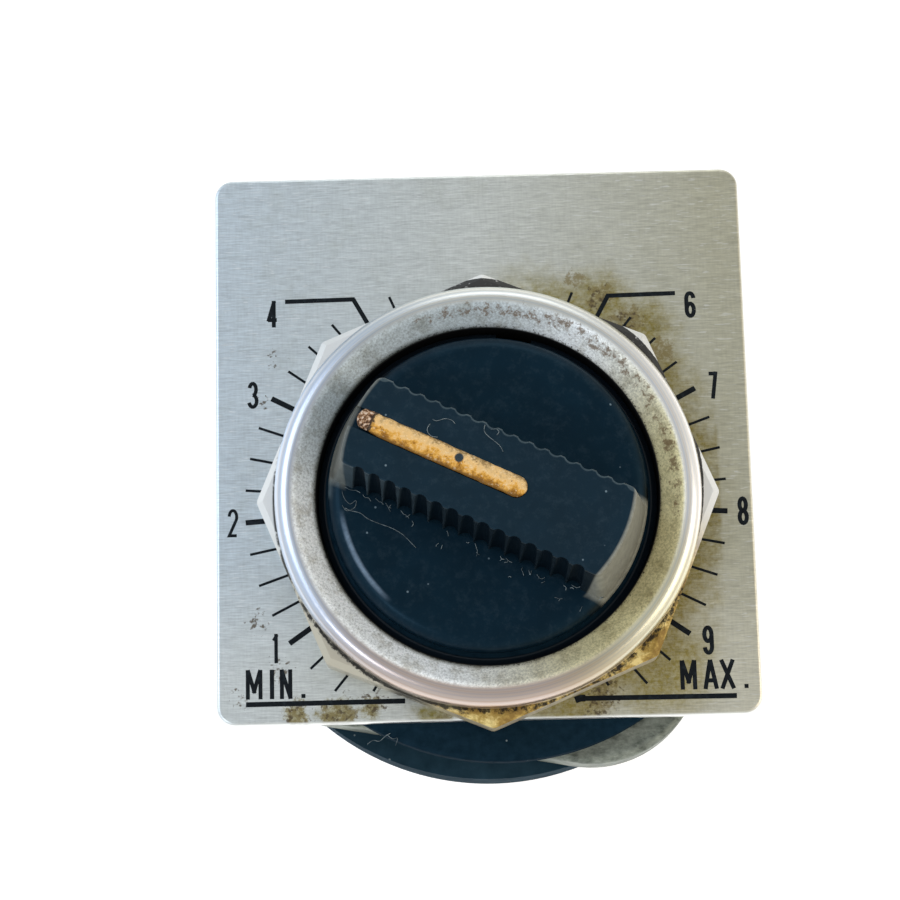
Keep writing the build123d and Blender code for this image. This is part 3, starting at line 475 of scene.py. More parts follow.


# Nickel-chromed die casting: a bright rolled rim, a satin turned dish, old grease in the corners; painted
# reflections tint the rim by side, and painted shade lies round the bore
nutFinish = {
    "grains": {"specks": (0.2, 4, 0.7), "smears": (1.8, 7, 0.72), "crackle": (0.55, 6, 0.72),
               "flakes": (0.7, 7, 0.75)},
    "rimRoughness": 0.31,
    "rimLines": [(0.38, "#d9dee8"), (0.5, "#f2f2f0"), (0.62, "#ece2d9")],  # faint colours of the chrome, with painted reflection streaks
    "rimLineWidth": 0.35,  # mm
    "rimCoolReflection": "#dbe3f0",  # painted reflection, cool, to the left
    "rimTopReflection": "#e7eae7",  # painted reflection, greyer, at the top
    "rimWarmReflection": "#dccbc2",  # painted reflection, warm, low on the rim
    "rimYellowReflection": "#efecd4",  # painted reflection, yellow, low at the right
    "dish": "#f4f8f8",
    "dishRoughness": 0.42,
    "dishMetal": 0.25,  # the plating there is thin and chalky
    "dishShade": "#bfcace",  # its upper left
    "dishOlive": "#d3c898",
    "dishSmear": "#94896e",
    "octagon": "#e4e5e3",
    "octagonMetal": 0.4,
    "octagonRoughness": 0.4,
    "beige": "#c6bfac",  # its lower left, under loose crumbs
    "gold": [(0.4, "#8f7238"), (0.5, "#b59750"), (0.6, "#e8d18c")],
    "crust": "#6b5233",
    "sootAndShade": "#0f0e0c",
    # painted shade round the bore's lip, on the left
    "lipShade": "#6d6c5f",
    "seamRadius": 16.45,  # mm, where crust gathers in the dish
    "cornerUp": 0.9,  # mm, the dark in the rim's corner reaches further out towards the top
    # directions on the ring: degrees, and the cosines between which each sets in
    "sides": {"warm": (-98, 0.55, 0.95), "cool": (175, 0.2, 0.9), "top": (90, 0.45, 0.95),
              "yellow": (-42, 0.8, 0.98), "olive": (-22, 0.1, 0.9), "shade": (118, 0.45, 0.95),
              "gold": (-62, 0.5, 0.85), "beige": (238, 0.6, 0.9), "seam": (50, 0.3, 0.8),
              "clean": (152, 0.5, 0.85), "crumb": (238, 0.75, 0.92), "foot": (200, 0.2, 0.6),
              "lipShade": (190, -0.35, 0.4)},
    "softMasks": {"dish": ("radius", 17.4, 16.9), "bore": ("radius", 15.54, 15.04)},
    "masks": {
        "outside": ("radius", 18.58, 18.74),  # the octagon begins here
        "lowDown": ("z", plateTop + 3.55, plateTop + 3.4),
        "faceUp": ("up", 0.2, 0.45, 0.4, 1),
        "speckShade": ("specks", 0.34, 0.6, 0.62, 1.18),
        "smearShade": ("smears", 0.48, 0.68, 0, 0.6),
        "sootIn": ("radius", 20.0, 19.0, 0.28, 0.72),
        "crumbIn": ("radius", 19.4, 18.9, 0.34, 0.8),
        "foot": ("radius", 19.0, 18.88),
        "footBroken": ("smears", 0.42, 0.5, 0, 0.9),
        "lip": ("radius", 15.79, 15.06),
        # painted shadow on the bore's inner wall
        "wall": ("radius", 15.18, 15.09),
    },
}


def nickelChromePlate(finish):
    material, tree, shader, inMm, grains = startMaterial("nickelChromePlate", finish["grains"])
    way, measures = ringParts(tree, inMm)
    radius = measures["radius"]
    mask = readMasks(tree, {**measures, **grains}, finish["masks"])
    side = {name: facing(tree, way, *spread) for name, spread in finish["sides"].items()}
    soft = readMasks(tree, measures, finish["softMasks"], "SMOOTHSTEP")
    inDish = soft["dish"]
    onOctagon = product(tree, mask["outside"], mask["lowDown"])

    # Rim: polished on a lathe, so its faint colours and painted reflection streaks run round it
    ringPlace = addNode(tree, "CombineXYZ", {0: radius})
    rings = addNode(tree, "TexNoise", {"Vector": ringPlace, "Scale": 1 / finish["rimLineWidth"],
                                       "Detail": 2})
    ringTint = addNode(tree, "ValToRGB", {0: rings}, stops=finish["rimLines"])

    # Dish: chalky, speckled, olive to the right, with brown crust where it meets the rim
    dishColour = coat(tree, finish["dish"], (side["shade"], finish["dishShade"]),
                      (side["olive"], finish["dishOlive"]), (0.9, mask["speckShade"], "MULTIPLY"),
                      (mask["smearShade"], finish["dishSmear"], "MULTIPLY"))

    # Octagon: pale above, gold and black crackle of old grease low down
    goldAmount = product(tree, side["gold"], onOctagon, mask["faceUp"])
    gold = addNode(tree, "ValToRGB", {0: grains["smears"]}, stops=finish["gold"])
    octagonColour = coat(tree, finish["octagon"], (side["beige"], finish["beige"]), (goldAmount, gold))

    # Crust along the dish's outer edge, upper right, and at the top
    seam = addNode(tree, "Math", {0: radius, 1: finish["seamRadius"]}, operation="SUBTRACT")
    seamAway = addNode(tree, "Math", {0: seam}, operation="ABSOLUTE")
    seamNear = addNode(tree, "MapRange", {"Value": seamAway, "From Min": 1.3, "From Max": 0.2})
    seamAround = addNode(tree, "MapRange", {"Value": side["seam"], "To Min": 0.42})
    seamPlace = product(tree, seamNear, seamAround)
    crustLift = addNode(tree, "Mix", {"Factor": 0.2, "A": grains["flakes"], "B": seamPlace})

    # Dark: in the corner where the rim meets the octagon; soot in the crackle, round the lip, and as a thin
    # broken line at the rim's foot, on the left; and painted shadow on the bore's wall
    raised = addNode(tree, "VectorMath", {0: inMm, 1: (0, finish["cornerUp"], 0)}, operation="SUBTRACT")
    raisedFlat = addNode(tree, "VectorMath", {0: raised, 1: (1, 1, 0)}, operation="MULTIPLY")
    raisedRadius = addNode(tree, "VectorMath", {0: raisedFlat}, operation="LENGTH")
    cornerOut = addNode(tree, "MapRange", {"Value": raisedRadius, "From Min": 19.12, "From Max": 18.96})
    dirtySide = addNode(tree, "MapRange", {"Value": side["clean"], "To Min": 0.86, "To Max": 0.4})
    octagonDirt = greatest(tree, product(tree, cornerOut, onOctagon, dirtySide),
                           product(tree, goldAmount, mask["sootIn"]),
                           product(tree, side["crumb"], onOctagon, mask["crumbIn"]))
    facedDirt = product(tree, octagonDirt, mask["faceUp"])
    octagonLift = addNode(tree, "Mix", {"Factor": 0.5, "A": grains["crackle"], "B": facedDirt})
    footSoot = product(tree, mask["foot"], side["foot"], mask["footBroken"], onOctagon)
    lipLift = addNode(tree, "Mix", {"Factor": 0.3, "A": grains["specks"], "B": mask["lip"]})
    laid = readMasks(tree, {"crust": crustLift, "octagon": octagonLift, "lip": lipLift}, {
        "crust": ("crust", 0.58, 0.65, 0, 0.8),
        "octagonSoot": ("octagon", 0.57, 0.63, 0, 0.95),
        "lipSoot": ("lip", 0.56, 0.66, 0, 0.9),
    })
    # soot, with painted shadow on the bore's wall
    sootAndShade = greatest(tree, laid["octagonSoot"], laid["lipSoot"], footSoot, mask["wall"])
    # painted shade on the dish just round the bore, on the left
    lipShadeAmount = product(tree, soft["bore"], side["lipShade"])
    # the rim's tints by side are painted reflections
    colour = coat(tree, ringTint, (side["cool"], finish["rimCoolReflection"], "MULTIPLY"),
                  (side["top"], finish["rimTopReflection"], "MULTIPLY"),
                  (side["yellow"], finish["rimYellowReflection"], "MULTIPLY"),
                  (side["warm"], finish["rimWarmReflection"], "MULTIPLY"), (inDish, dishColour),
                  (onOctagon, octagonColour), (laid["crust"], finish["crust"]), (sootAndShade, finish["sootAndShade"]),
                  (lipShadeAmount, finish["lipShade"], "MULTIPLY"))

    covered = greatest(tree, sootAndShade, laid["crust"])
    dishMetal = addNode(tree, "MapRange", {"Value": inDish, "To Min": 0.95, "To Max": finish["dishMetal"]})
    octagonMetal = addNode(tree, "Mix", {"Factor": onOctagon, "A": dishMetal, "B": finish["octagonMetal"]})
    metal = addNode(tree, "Mix", {"Factor": covered, "A": octagonMetal, "B": 0.05})
    dishRough = addNode(tree, "MapRange", {"Value": inDish, "To Min": finish["rimRoughness"],
                                           "To Max": finish["dishRoughness"]})
    octagonRough = addNode(tree, "Mix", {"Factor": onOctagon, "A": dishRough,
                                         "B": finish["octagonRoughness"]})
    rough = addNode(tree, "Mix", {"Factor": covered, "A": octagonRough, "B": 0.65})
    bump = addNode(tree, "Bump", {"Height": grains["specks"], "Strength": 0.2, "Distance": 0.02 * mm})
    setInputs(tree, shader, {"Base Color": colour, "Metallic": metal, "Roughness": rough,
                             "Specular IOR Level": 0.25, "Normal": bump})
    return material


dress(nickelChromePlate(nutFinish), "mounting_nut")
print("nut dressed")


# Compression-moulded phenolic, aged: blue-black and satin, dusty, rubbed grey on its ends and lands, with
# painted shade on its flutes and painted highlights and reflections on its lands, ends, far top edge and
# disc rim
knobFinish = {
    "grains": {"tone": (3.5, 5, 0.6), "film": (0.9, 7, 0.8)},
    "body": "#05131d",
    "sheen": "#0b2230",
    "reflection": "#8fc4e2",
    "dust": "#8fa3ad",
    "dustSpacing": 1.9,  # mm
    "topDust": 0.02,  # the grip's top holds a little more
    # painted highlight on the disc's rounded rim
    "discHighlight": "#8ea3b8",
    "discHighlightRadius": 12.85,  # mm
    "discHighlightEdges": (0.34, 0.04),  # mm to each side of it, where it fades out and where it is whole
    "discHighlightWay": (207, 0.93, 0.985),
    # painted shade on the steep flanks of the flutes
    "flankShade": "#060c12",
    "flankLean": 0.0875,  # mm out for each mm down
    # rubbed grey, with a painted highlight
    "land": "#46545b",
    # painted highlight along the grip's far top edge
    "farEdgeHighlight": "#556266",
    "end": "#b3b2a4",  # the ends of the grip, dusty from fingers, with a painted reflection of the nut's dish
    "halfWidth": 4.1,  # mm, of the grip's top
    "flutePitch": 1.45,
    "fluteRadius": 0.72,
    "fluteAxis": 4.57,  # mm from the grip's middle, at the top
    "masks": {
        "haze": ("film", 0.5, 0.8, 0, 0.05),
        "rough": ("film", 0, 1, 0.24, 0.42),
        "atTop": ("z", gripTop - 0.3, gripTop - 0.2),
        "leaned": ("up", 0.85, 0.5),
        "byGrip": ("sideways", 6.4, 5.9),
        "land": ("outward", 5.064, 5.234),
        "landWearAndHighlight": ("along", 1, 11, 0.16, 1),  # most towards the outer end
        "landPatch": ("film", 0.3, 0.65, 0.4, 1),
        "wear": ("film", 0.35, 0.6, 0.3, 0.7),
        "beyond": ("radius", 12.3, 12.5),
        "between": ("sideways", 5.2, 4.6),
        "innerEnd": ("along", 1, -1, 0.5, 1),
        "endWear": ("film", 0.3, 0.7, 0.35, 0.7),
    },
}


def agedPhenolic(finish):
    material, tree, shader, inMm, grains = startMaterial("agedPhenolic", finish["grains"])
    way, measures = ringParts(tree, inMm)
    leaning = gripAcross + Vector((0, 0, finish["flankLean"]))
    for name, ray in (("across", gripAcross), ("along", gripWay), ("outward", leaning)):
        measures[name] = addNode(tree, "VectorMath", {0: inMm, 1: ray}, operation="DOT_PRODUCT")
    measures["sideways"] = addNode(tree, "Math", {0: measures["across"]}, operation="ABSOLUTE")
    mask = readMasks(tree, {**measures, **grains}, finish["masks"])
    dust = greatest(tree, mask["haze"], dustSpecks(tree, inMm, finish["dustSpacing"], 0.5))
    settled = addNode(tree, "Math", {0: mask["atTop"], 1: finish["topDust"], 2: dust},
                      operation="MULTIPLY_ADD")

    # A pale band where the disc rounds off, at the lower left: a painted highlight
    fromHighlight = addNode(tree, "Math", {0: measures["radius"], 1: finish["discHighlightRadius"]}, operation="SUBTRACT")
    highlightAway = addNode(tree, "Math", {0: fromHighlight}, operation="ABSOLUTE")
    outer, inner = finish["discHighlightEdges"]
    highlightNear = addNode(tree, "MapRange", {"Value": highlightAway, "From Min": outer, "From Max": inner},
                       interpolation_type="SMOOTHSTEP")
    highlighted = product(tree, highlightNear, facing(tree, way, *finish["discHighlightWay"]), grains["film"])

    # Steep faces of the grip, the flutes above all, are painted darker as shade, and the lands between the
    # flutes are rubbed grey on the near side, with a painted highlight
    # painted shade on the steep faces near the grip
    steep = product(tree, mask["leaned"], mask["byGrip"])
    landWearAndHighlight = product(tree, mask["land"], mask["landPatch"], mask["landWearAndHighlight"], steep)

    # Painted highlight along the far edge of the grip's top, in and out round every flute
    pitch = finish["flutePitch"]
    flute = addNode(tree, "Math", {0: measures["along"], 1: pitch / 2, 2: -pitch / 2}, operation="WRAP")
    squared = product(tree, flute, flute)
    chord = addNode(tree, "Math", {0: finish["fluteRadius"] ** 2, 1: squared}, operation="SUBTRACT",
                    use_clamp=True)
    arcDepth = addNode(tree, "Math", {0: chord}, operation="SQRT")
    hollow = addNode(tree, "Math", {0: finish["fluteAxis"], 1: arcDepth}, operation="SUBTRACT")
    outline = addNode(tree, "Math", {0: hollow, 1: finish["halfWidth"]}, operation="MINIMUM")
    inside = addNode(tree, "Math", {0: outline, 1: measures["across"]}, operation="ADD")
    line = addNode(tree, "MapRange", {"Value": inside, "From Min": 0.19, "From Max": 0.1})
    # the painted highlight along the far edge, mottled
    worn = product(tree, line, mask["atTop"], mask["wear"])

    # The two end faces of the grip: dust, with a painted reflection of the nut's dish
    endDustAndReflection = product(tree, mask["beyond"], mask["innerEnd"], mask["between"], mask["endWear"])
    colour = coat(tree, finish["body"], (grains["tone"], finish["sheen"]), (settled, finish["dust"]),
                  (highlighted, finish["discHighlight"]), (steep, finish["flankShade"]), (landWearAndHighlight, finish["land"]),
                  (worn, finish["farEdgeHighlight"]), (endDustAndReflection, finish["end"]))
    bump = addNode(tree, "Bump", {"Height": grains["film"], "Strength": 0.2, "Distance": 0.02 * mm})
    setInputs(tree, shader, {"Base Color": colour, "Roughness": mask["rough"], "IOR": 1.55, "Normal": bump,
                             "Specular IOR Level": 0.2, "Specular Tint": finish["reflection"]})
    return material


dress(agedPhenolic(knobFinish), "knob")
print("knob dressed")


# Cream lacquer run into the groove, yellowed, stained where it has lifted, broken at its outer end
pointer = {
    "width": 1.85,  # mm
    "shift": -0.09,  # mm, it lies a little to one side
    "inner": -3.5,  # mm along the grip
    "outer": 12.2,
    "narrowFrom": 9.8,
    "proud": 0.2,
    # across the strip, from the far edge to the near one, where the lacquer has gone amber
    "tones": [(0.0, "#94784a"), (0.2, "#d8b47a"), (0.5, "#e9be7c"), (0.66, "#dea545"), (0.86, "#a8731c"),
              (1.0, "#87580f")],
    "pale": "#f4dcb4",
    "nearEdge": "#7a5521",
    "fleck": "#6d3f1c",
    "crack": "#23170e",
    "endTones": [(0.42, "#4a2f1a"), (0.52, "#9a7350"), (0.66, "#d8c4b0")],
    "broken": 10.85,  # mm along the grip, brown and lifted from here
    "hole": (2.85, -0.3),
    "holeRadius": 0.42,
    "holeColour": "#26353d",
    "grains": {"patch": (0.9, 6, 0.7), "speck": (0.26, 3, 0.5)},
    "masks": {
        "shift": ("patch", 0.3, 0.7, -0.75, 0.75),
        "pale": ("speck", 0.56, 0.72, 0, 0.6),
        "fleck": ("speck", 0.34, 0.29, 0, 0.85),
        "uneven": ("speck", 0, 1, -0.35, 0.35),
        "nearEdge": ("across", 0.53, 0.81, 0, 0.8),
    },
}


def agedCreamLacquer(finish):
    material, tree, shader, inMm, grains = startMaterial("agedCreamLacquer", finish["grains"])
    lined = addNode(tree, "Mapping", {"Vector": inMm, "Rotation": (0, 0, math.radians(pointerAngle))},
                    vector_type="TEXTURE")
    split = addNode(tree, "SeparateXYZ", {0: lined})
    mask = readMasks(tree, {"across": split.outputs["Y"], **grains}, finish["masks"])
    wavering = addNode(tree, "Math", {0: split.outputs["Y"], 1: mask["shift"]}, operation="ADD")
    across = addNode(tree, "MapRange", {"Value": wavering, "From Min": -1.05, "From Max": 0.87})
    base = addNode(tree, "ValToRGB", {0: across}, stops=finish["tones"])

    # The outer end: a dark crack, then mottled brown and bone
    place = addNode(tree, "Math", {0: split.outputs["X"], 1: mask["uneven"]}, operation="ADD")
    endColour = addNode(tree, "ValToRGB", {0: grains["speck"]}, stops=finish["endTones"])
    fromCrack = addNode(tree, "Math", {0: place, 1: finish["broken"]}, operation="SUBTRACT")
    crackAway = addNode(tree, "Math", {0: fromCrack}, operation="ABSOLUTE")
    holeAway = addNode(tree, "VectorMath", {0: lined, 1: (*finish["hole"], gripTop)}, operation="DISTANCE")
    hurt = readMasks(tree, {"fromCrack": fromCrack, "crackAway": crackAway, "holeAway": holeAway}, {
        "broken": ("fromCrack", -0.06, 0.06),
        "crack": ("crackAway", 0.22, 0.1, 0, 0.9),
        "hole": ("holeAway", finish["holeRadius"] + 0.06, finish["holeRadius"] - 0.06),
    })
    colour = coat(tree, base, (mask["pale"], finish["pale"]), (mask["nearEdge"], finish["nearEdge"]),
                  (mask["fleck"], finish["fleck"]), (hurt["broken"], endColour),
                  (hurt["crack"], finish["crack"]), (hurt["hole"], finish["holeColour"]))
    bump = addNode(tree, "Bump", {"Height": grains["patch"], "Strength": 0.5, "Distance": 0.08 * mm})
    setInputs(tree, shader, {"Base Color": colour, "Roughness": 0.55, "Specular IOR Level": 0.3,
                             "Normal": bump})
    return material


def lacquerMesh(finish):
    # a crowned strip with wavering edges, round at its inner end, narrower at the broken outer end
    mesh = bmesh.new()
    rows = []
    stepCount, sideCount = 90, 8
    for i in range(stepCount + 1):
        place = finish["inner"] + (finish["outer"] - finish["inner"]) * i / stepCount
        half = finish["width"] / 2
        for away, reach in ((place - finish["inner"], half), (finish["outer"] - place, half * 0.6)):
            if away < reach:
                half *= math.sqrt(max(1 - (1 - away / reach) ** 2, 0.02))
        row = []
        for j in range(sideCount + 1):
            side = 2 * j / sideCount - 1
            narrow = 0.25 * max(place - finish["narrowFrom"], 0) / 2.4 if side > 0 else 0
            waver = 1 - narrow + 0.06 * noise.noise(Vector((place * 1.3, side * 0.4, 3.1)))
            point = gripWay * place + gripAcross * (side * half * waver + finish["shift"])
            lump = 0.05 * noise.noise(Vector((place * 1.1, side * 1.5, 8.2)))
            rise = finish["proud"] * (1 - side ** 4) ** 0.5 + lump * (1 - abs(side))
            holeAway = math.hypot(place - finish["hole"][0], side * half - finish["hole"][1])
            rise -= 0.3 * max(1 - holeAway / finish["holeRadius"], 0)
            row.append(mesh.verts.new((point + Vector((0, 0, gripTop + rise))) * mm))
        rows.append(row)
    for a, b in zip(rows, rows[1:]):
        for j in range(sideCount):
            mesh.faces.new((a[j], a[j + 1], b[j + 1], b[j]))
    rim = [row[0] for row in rows] + rows[-1][1:]
    rim += [row[-1] for row in reversed(rows[:-1])] + rows[0][-2:0:-1]
    foot = [mesh.verts.new(v.co - Vector((0, 0, 0.5 * mm))) for v in rim]
    for i, corner in enumerate(rim):
        k = (i + 1) % len(rim)
        mesh.faces.new((corner, rim[k], foot[k], foot[i]))
    mesh.faces.new(list(reversed(foot)))
    return mesh


lacquer = agedCreamLacquer(pointer)
pointerPaint = finishMesh("pointerPaint", lacquerMesh(pointer), lacquer, "rotor", True)
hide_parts("pointer_line")
print("pointer painted")


# Cotton fibres: hair-thin, pale grey, so they show only as fine light lines
lint = {
    "radius": 0.026,  # mm
    "pale": "#8d989a",
    "dark": "#3d494f",
    "grains": {"fluff": (0.6, 3, 0.5)},
    "crumbs": 26,  # short bits at the foot of the flutes
    # points in mm, each fibre lying on the disc
    "onDisc": [
        [(-12.47, -1.24), (-11.96, -1.5), (-11.16, -1.71), (-10.47, -2.26), (-9.44, -2.72), (-8.49, -3.1),
         (-7.46, -3.74), (-6.36, -4.91)],
        [(-12.7, 0.3), (-12.5, -0.4), (-12.0, -0.9), (-11.5, -0.6), (-11.6, -1.2), (-12.3, -1.5),
         (-12.7, -1.0)],
        [(-12.4, 0.6), (-12.0, 0.35), (-11.5, 0.3), (-11.1, 0.05)],
        [(-10.9, -0.1), (-10.7, -0.35), (-10.4, -0.4), (-10.2, -0.7)],
        [(-9.8, -0.45), (-9.5, -0.75), (-9.3, -0.8), (-9.1, -1.05)],
        [(-8.9, -0.9), (-8.7, -1.25), (-8.45, -1.35)],
        [(-7.6, -1.6), (-7.4, -1.9), (-7.15, -2.0), (-6.9, -2.3)],
        [(1.4, -6.0), (1.6, -6.25), (1.9, -6.4)],
        [(7.0, -8.5), (7.4, -8.75), (7.8, -8.65), (8.3, -8.9), (8.8, -8.95)],
        [(9.1, -9.3), (9.4, -9.65), (9.7, -9.6), (9.3, -9.85)],
    ],
    "onGrip": [
        [(-4.82, 4.53), (-5.09, 4.01), (-4.76, 3.48), (-4.2, 3.35)],
        [(-4.6, 4.9), (-4.23, 4.77), (-3.6, 4.95), (-3.0, 4.8), (-2.7, 4.5)],
        [(-0.17, 4.32), (-0.25, 3.8), (0.06, 3.36), (0.56, 2.91), (1.05, 2.47), (1.29, 1.94)],
        [(0.3, 3.9), (0.75, 3.95), (1.0, 3.7), (0.8, 3.4)],
    ],
    "onGasket": [
        [(-11.12, -21.12), (-10.59, -20.78), (-10.06, -20.88), (-9.52, -20.45), (-9.08, -20.2)],
        [(-9.4, -20.3), (-8.9, -20.7), (-8.46, -20.65), (-8.65, -21.3)],
    ],
}


def cottonFibre(finish):
    material, tree, shader, _, grains = startMaterial("cottonFibre", finish["grains"])
    tones = [(0.35, finish["dark"]), (0.65, finish["pale"])]
    colour = addNode(tree, "ValToRGB", {0: grains["fluff"]}, stops=tones)
    setInputs(tree, shader, {"Base Color": colour, "Roughness": 0.9})
    return material


def layFibre(mesh, points, height, radius):
    # a thin tube through the points, rounded between them, lying on a face at one height
    line = []
    for i in range(len(points) - 1):
        a, b = Vector(points[max(i - 1, 0)]), Vector(points[i])
        c, d = Vector(points[i + 1]), Vector(points[min(i + 2, len(points) - 1)])
        for t in (0, 1 / 3, 2 / 3):
            line.append(0.5 * (2 * b + (c - a) * t + (2 * a - 5 * b + 4 * c - d) * t ** 2
                               + (3 * b - a - 3 * c + d) * t ** 3))
    line.append(Vector(points[-1]))
    rings = []
    for i, place in enumerate(line):
        way = (line[min(i + 1, len(line) - 1)] - line[max(i - 1, 0)]).normalized()
        side = Vector((-way.y, way.x, 0))
        middle = Vector((place.x, place.y, height + radius + 0.04 * (1 + math.sin(i * 0.9))))
        ring = []
        for k in range(5):
            turn = 2 * math.pi * k / 5
            spot = middle + radius * (side * math.cos(turn) + Vector((0, 0, math.sin(turn))))
            ring.append(mesh.verts.new(spot * mm))
        rings.append(ring)
    for a, b in zip(rings, rings[1:]):
        for k in range(5):
            mesh.faces.new((a[k], a[(k + 1) % 5], b[(k + 1) % 5], b[k]))
    mesh.faces.new(rings[0])
    mesh.faces.new(rings[-1])


knobLint = bmesh.new()
for place, height in (("onDisc", discTop), ("onGrip", gripTop)):
    for points in lint[place]:
        layFibre(knobLint, points, height, lint["radius"])
for i in range(lint["crumbs"]):
    start = gripWay * random.uniform(-12, 8) + gripAcross * random.choice((4.9, 5.1, 5.4, 6.2))
    turn = random.uniform(0, math.pi)
    size = random.uniform(0.12, 0.32)
    bend = Vector((math.cos(turn), math.sin(turn))) * size
    curl = Vector((-bend.y, bend.x)) * random.uniform(-0.6, 0.6)
    layFibre(knobLint, [start.xy - bend, start.xy + curl, start.xy + bend], discTop, lint["radius"])
fibre = cottonFibre(lint)
finishMesh("knobLint", knobLint, fibre, "rotor", smooth=True)
gasketLint = bmesh.new()
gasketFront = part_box("panel_gasket")[1].z / mm
for points in lint["onGasket"]:
    layFibre(gasketLint, points, gasketFront, lint["radius"])
finishMesh("gasketLint", gasketLint, fibre, "root", smooth=True)
print("lint laid")


looseDust = {"colour": "#9aa6a8", "spacing": 2.2}  # mm apart


def evenFinish(name, tones, patchSize, roughness, metallic=0.0, bumpDepth=0.02, specular=0.5,
               stretch=(1, 1, 1), dusty=0.0):
    # colour varies between two tones in patches of a real size, and the bump follows them
    material, tree, shader, inMm, _ = startMaterial(name)
    fitted = addNode(tree, "Mapping", {"Vector": inMm, "Scale": stretch})
    patches = addNode(tree, "TexNoise", {"Vector": fitted, "Scale": 1 / patchSize, "Detail": 6,
                                         "Roughness": 0.65})
    colour = addNode(tree, "ValToRGB", {0: patches}, stops=[(0.3, tones[0]), (0.7, tones[1])])
    specks = dustSpecks(tree, inMm, looseDust["spacing"], dusty)
    dusted = coat(tree, colour, (specks, looseDust["colour"]))
    spread = addNode(tree, "MapRange", {"Value": patches, "To Min": roughness + 0.1,
                                        "To Max": roughness - 0.08})
    bump = addNode(tree, "Bump", {"Height": patches, "Strength": 0.4, "Distance": bumpDepth * mm})
    setInputs(tree, shader, {"Base Color": dusted, "Roughness": spread, "Metallic": metallic,
                             "Specular IOR Level": specular, "Normal": bump})
    return material


# Die-cast zinc, oxidised: grey-green and dull, with flow marks, its bush black at the front, round the nut's
# bore
castFinish = {
    "dark": "#4b5149",
    "pale": "#a0a69a",
    "markSize": 1.1,  # mm
    "grease": "#14202a",
    "masks": {"inner": ("radius", 15.4, 15.3), "front": ("z", plateTop, plateTop + 0.5)},
}


def dieCastZinc(finish):
    material, tree, shader, inMm, _ = startMaterial("dieCastZinc")
    mask = readMasks(tree, ringParts(tree, inMm)[1], finish["masks"])
    drawn = addNode(tree, "Mapping", {"Vector": inMm, "Scale": (0.6, 1, 1)})
    marks = addNode(tree, "TexNoise", {"Vector": drawn, "Scale": 1 / finish["markSize"], "Detail": 7,
                                       "Roughness": 0.75})
    tone = addNode(tree, "ValToRGB", {0: marks}, stops=[(0.33, finish["dark"]), (0.67, finish["pale"])])
    # black at the front, just round the bore
    greasy = product(tree, mask["inner"], mask["front"])
    colour = coat(tree, tone, (greasy, finish["grease"]))
    metal = addNode(tree, "MapRange", {"Value": greasy, "To Min": 0.6, "To Max": 0.0})
    bump = addNode(tree, "Bump", {"Height": marks, "Strength": 0.4, "Distance": 0.04 * mm})
    setInputs(tree, shader, {"Base Color": colour, "Metallic": metal, "Roughness": 0.5,
                             "Specular IOR Level": 0.3, "Normal": bump})
    return material


dress(dieCastZinc(castFinish), "operator_body")
# Nitrile rubber, moulded: dead black with a faint bloom
dress(evenFinish("mouldedRubber", ("#0c1f2a", "#162b38"), 0.9, 0.8, bumpDepth=0.03, specular=0.02,
                 dusty=0.6), "panel_gasket", "spindle_seal")
# Phenolic moulding, inside grade: black and satin
dress(evenFinish("mouldedPhenolic", ("#1a2f3a", "#28404d"), 2.2, 0.7, bumpDepth=0.03, specular=0.03,
                 dusty=0.6), "rear_housing")
# Zinc-plated steel: pale grey with a soft spangle
dress(evenFinish("zincPlatedSteel", ("#b0b3b2", "#c3c6c4"), 2.4, 0.34, 1.0, 0.015), "housing_screws",
      "housing_lockwashers", "pot_cover")
# Turned steel: tool marks run round the part, so the patches are drawn out flat
dress(evenFinish("turnedSteel", ("#8d8f91", "#b9bbbd"), 0.8, 0.3, 1.0, 0.01, stretch=(1, 1, 6)), "spindle",
      "thrust_washer", "retaining_clip", "coupling_screws", "pot_shaft", "pot_front_plate", "pot_lockwasher")
# Brass, stamped and turned, gone brown in patches
dress(evenFinish("tarnishedBrass", ("#93703a", "#cfa961"), 1.1, 0.34, 1.0, 0.012), "shaft_coupling",
      "pot_bushing", "pot_nut", "collector_ring", "terminals", "terminal_screws")
# Paper-filled phenolic: brown, with a faint fibre
dress(evenFinish("brownPhenolic", ("#2e1a12", "#4a2c1e"), 0.7, 0.42, stretch=(1, 3, 1)), "pot_base",
      "wiper_carrier")
# Moulded carbon: dark grey and fine grained
dress(evenFinish("mouldedCarbon", ("#171718", "#2b2b2c"), 0.3, 0.5, bumpDepth=0.01), "resistance_track",
      "wiper_brushes")
print("inner parts dressed")


# Backdrop paper: matt white, lit no more than the object
stage = {"paper": "#f4f4f2", "reach": 1.0, "glow": 0.5}
floorPaper, tree, shader = startMaterial("backdropPaper")[:3]
rays = addNode(tree, "LightPath", {})
seen = greatest(tree, rays.outputs["Is Camera Ray"], rays.outputs["Is Glossy Ray"])
glow = product(tree, seen, stage["glow"])
setInputs(tree, shader, {"Base Color": stage["paper"], "Roughness": 0.9, "Emission Color": "#ffffff",
                         "Emission Strength": glow})
floorMesh = bmesh.new()
for x, y in ((-1, -1), (1, -1), (1, 1), (-1, 1)):
    floorMesh.verts.new((x * stage["reach"], y * stage["reach"], cadBox[0][2]))
floorMesh.faces.new(floorMesh.verts)
floorData = bpy.data.meshes.new("floor")
floorMesh.to_mesh(floorData)
floorMesh.free()
floorData.materials.append(floorPaper)
floorObject = bpy.data.objects.new("floor", floorData)
bpy.context.scene.collection.objects.link(floorObject)

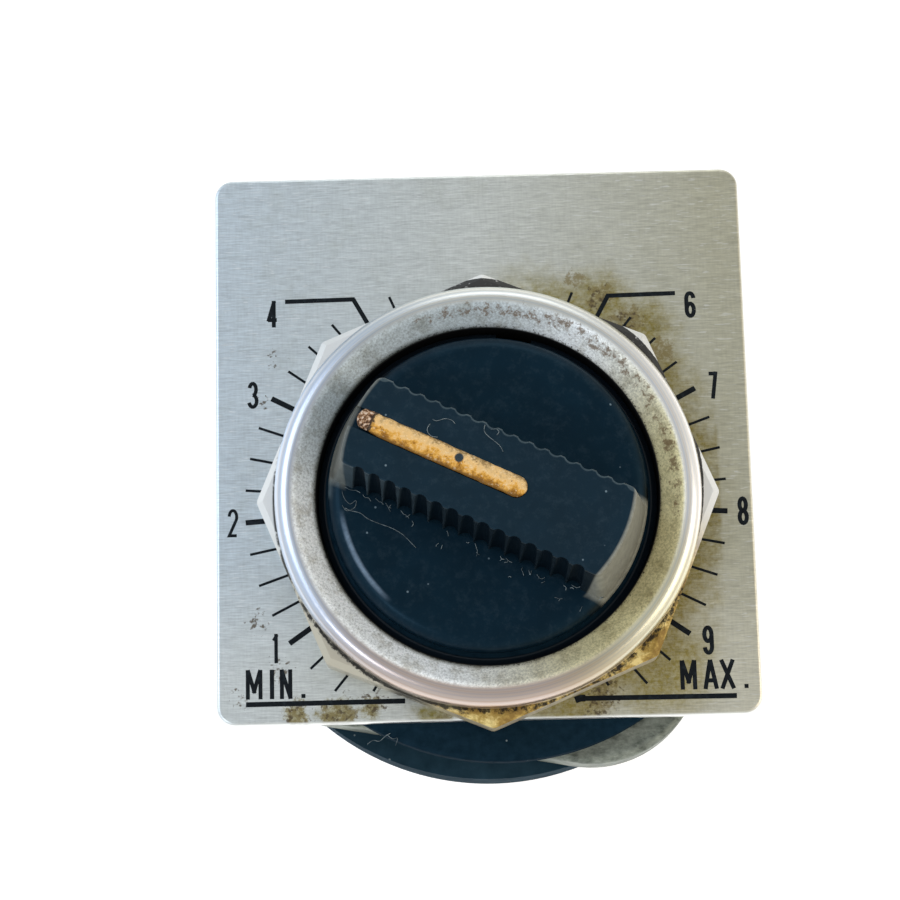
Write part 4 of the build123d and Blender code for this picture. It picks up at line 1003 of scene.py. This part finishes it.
lamps = {  # place and size in mm
    "windowLamp": {"place": (-330, 120, 400), "size": 300, "watts": 0.7, "colour": "#e3eeff"},
    "roomLamp": {"place": (380, -60, 300), "size": 260, "watts": 0.5, "colour": "#fff2e2"},
    "topLamp": {"place": (40, 420, 300), "size": 260, "watts": 0.25, "colour": "#ffffff"},
    "lowLamp": {"place": (-210, -170, 300), "size": 90, "watts": 0.18, "colour": "#eef4ff"},
}
for name, lamp in lamps.items():
    lampData = bpy.data.lights.new(name, "AREA")
    lampData.shape = "SQUARE"
    lampData.size = lamp["size"] * mm
    lampData.energy = lamp["watts"]
    lampData.color = linearColour(lamp["colour"])[:3]
    lampObject = bpy.data.objects.new(name, lampData)
    lampObject.location = Vector(lamp["place"]) * mm
    lampObject.rotation_euler = (-lampObject.location).to_track_quat("-Z", "Y").to_euler()
    bpy.context.scene.collection.objects.link(lampObject)

sky = {
    "sides": [(0.2, "#e8f1fa"), (0.5, "#f0f2f2"), (0.8, "#f4f0e8")],  # cool left, warm right
    "heights": [(0.0, 0.8), (0.35, 0.95), (0.75, 0.66), (0.97, 0.56)],  # darker overhead
}
world = bpy.data.worlds.new("studio")
world.use_nodes = True
bpy.context.scene.world = world
tree = world.node_tree
direction = addNode(tree, "TexCoord", {})
split = addNode(tree, "SeparateXYZ", {0: direction.outputs["Generated"]})
sideways = addNode(tree, "MapRange", {"Value": split.outputs["X"], "From Min": -1, "From Max": 1})
sideTone = addNode(tree, "ValToRGB", {0: sideways}, stops=sky["sides"])
heightTone = addNode(tree, "ValToRGB", {0: split.outputs["Z"]}, stops=sky["heights"])
skyColour = coat(tree, sideTone, (1.0, heightTone, "MULTIPLY"))
setInputs(tree, tree.nodes["Background"], {"Color": skyColour, "Strength": 1.0})
backdrop = addNode(tree, "Background", {"Color": "#ffffff", "Strength": 1.0})
rays = addNode(tree, "LightPath", {})
shown = addNode(tree, "MixShader", {0: rays.outputs["Is Camera Ray"], 1: tree.nodes["Background"],
                                    2: backdrop})
setInputs(tree, tree.nodes["World Output"], {"Surface": shown})
print("floor and light set")
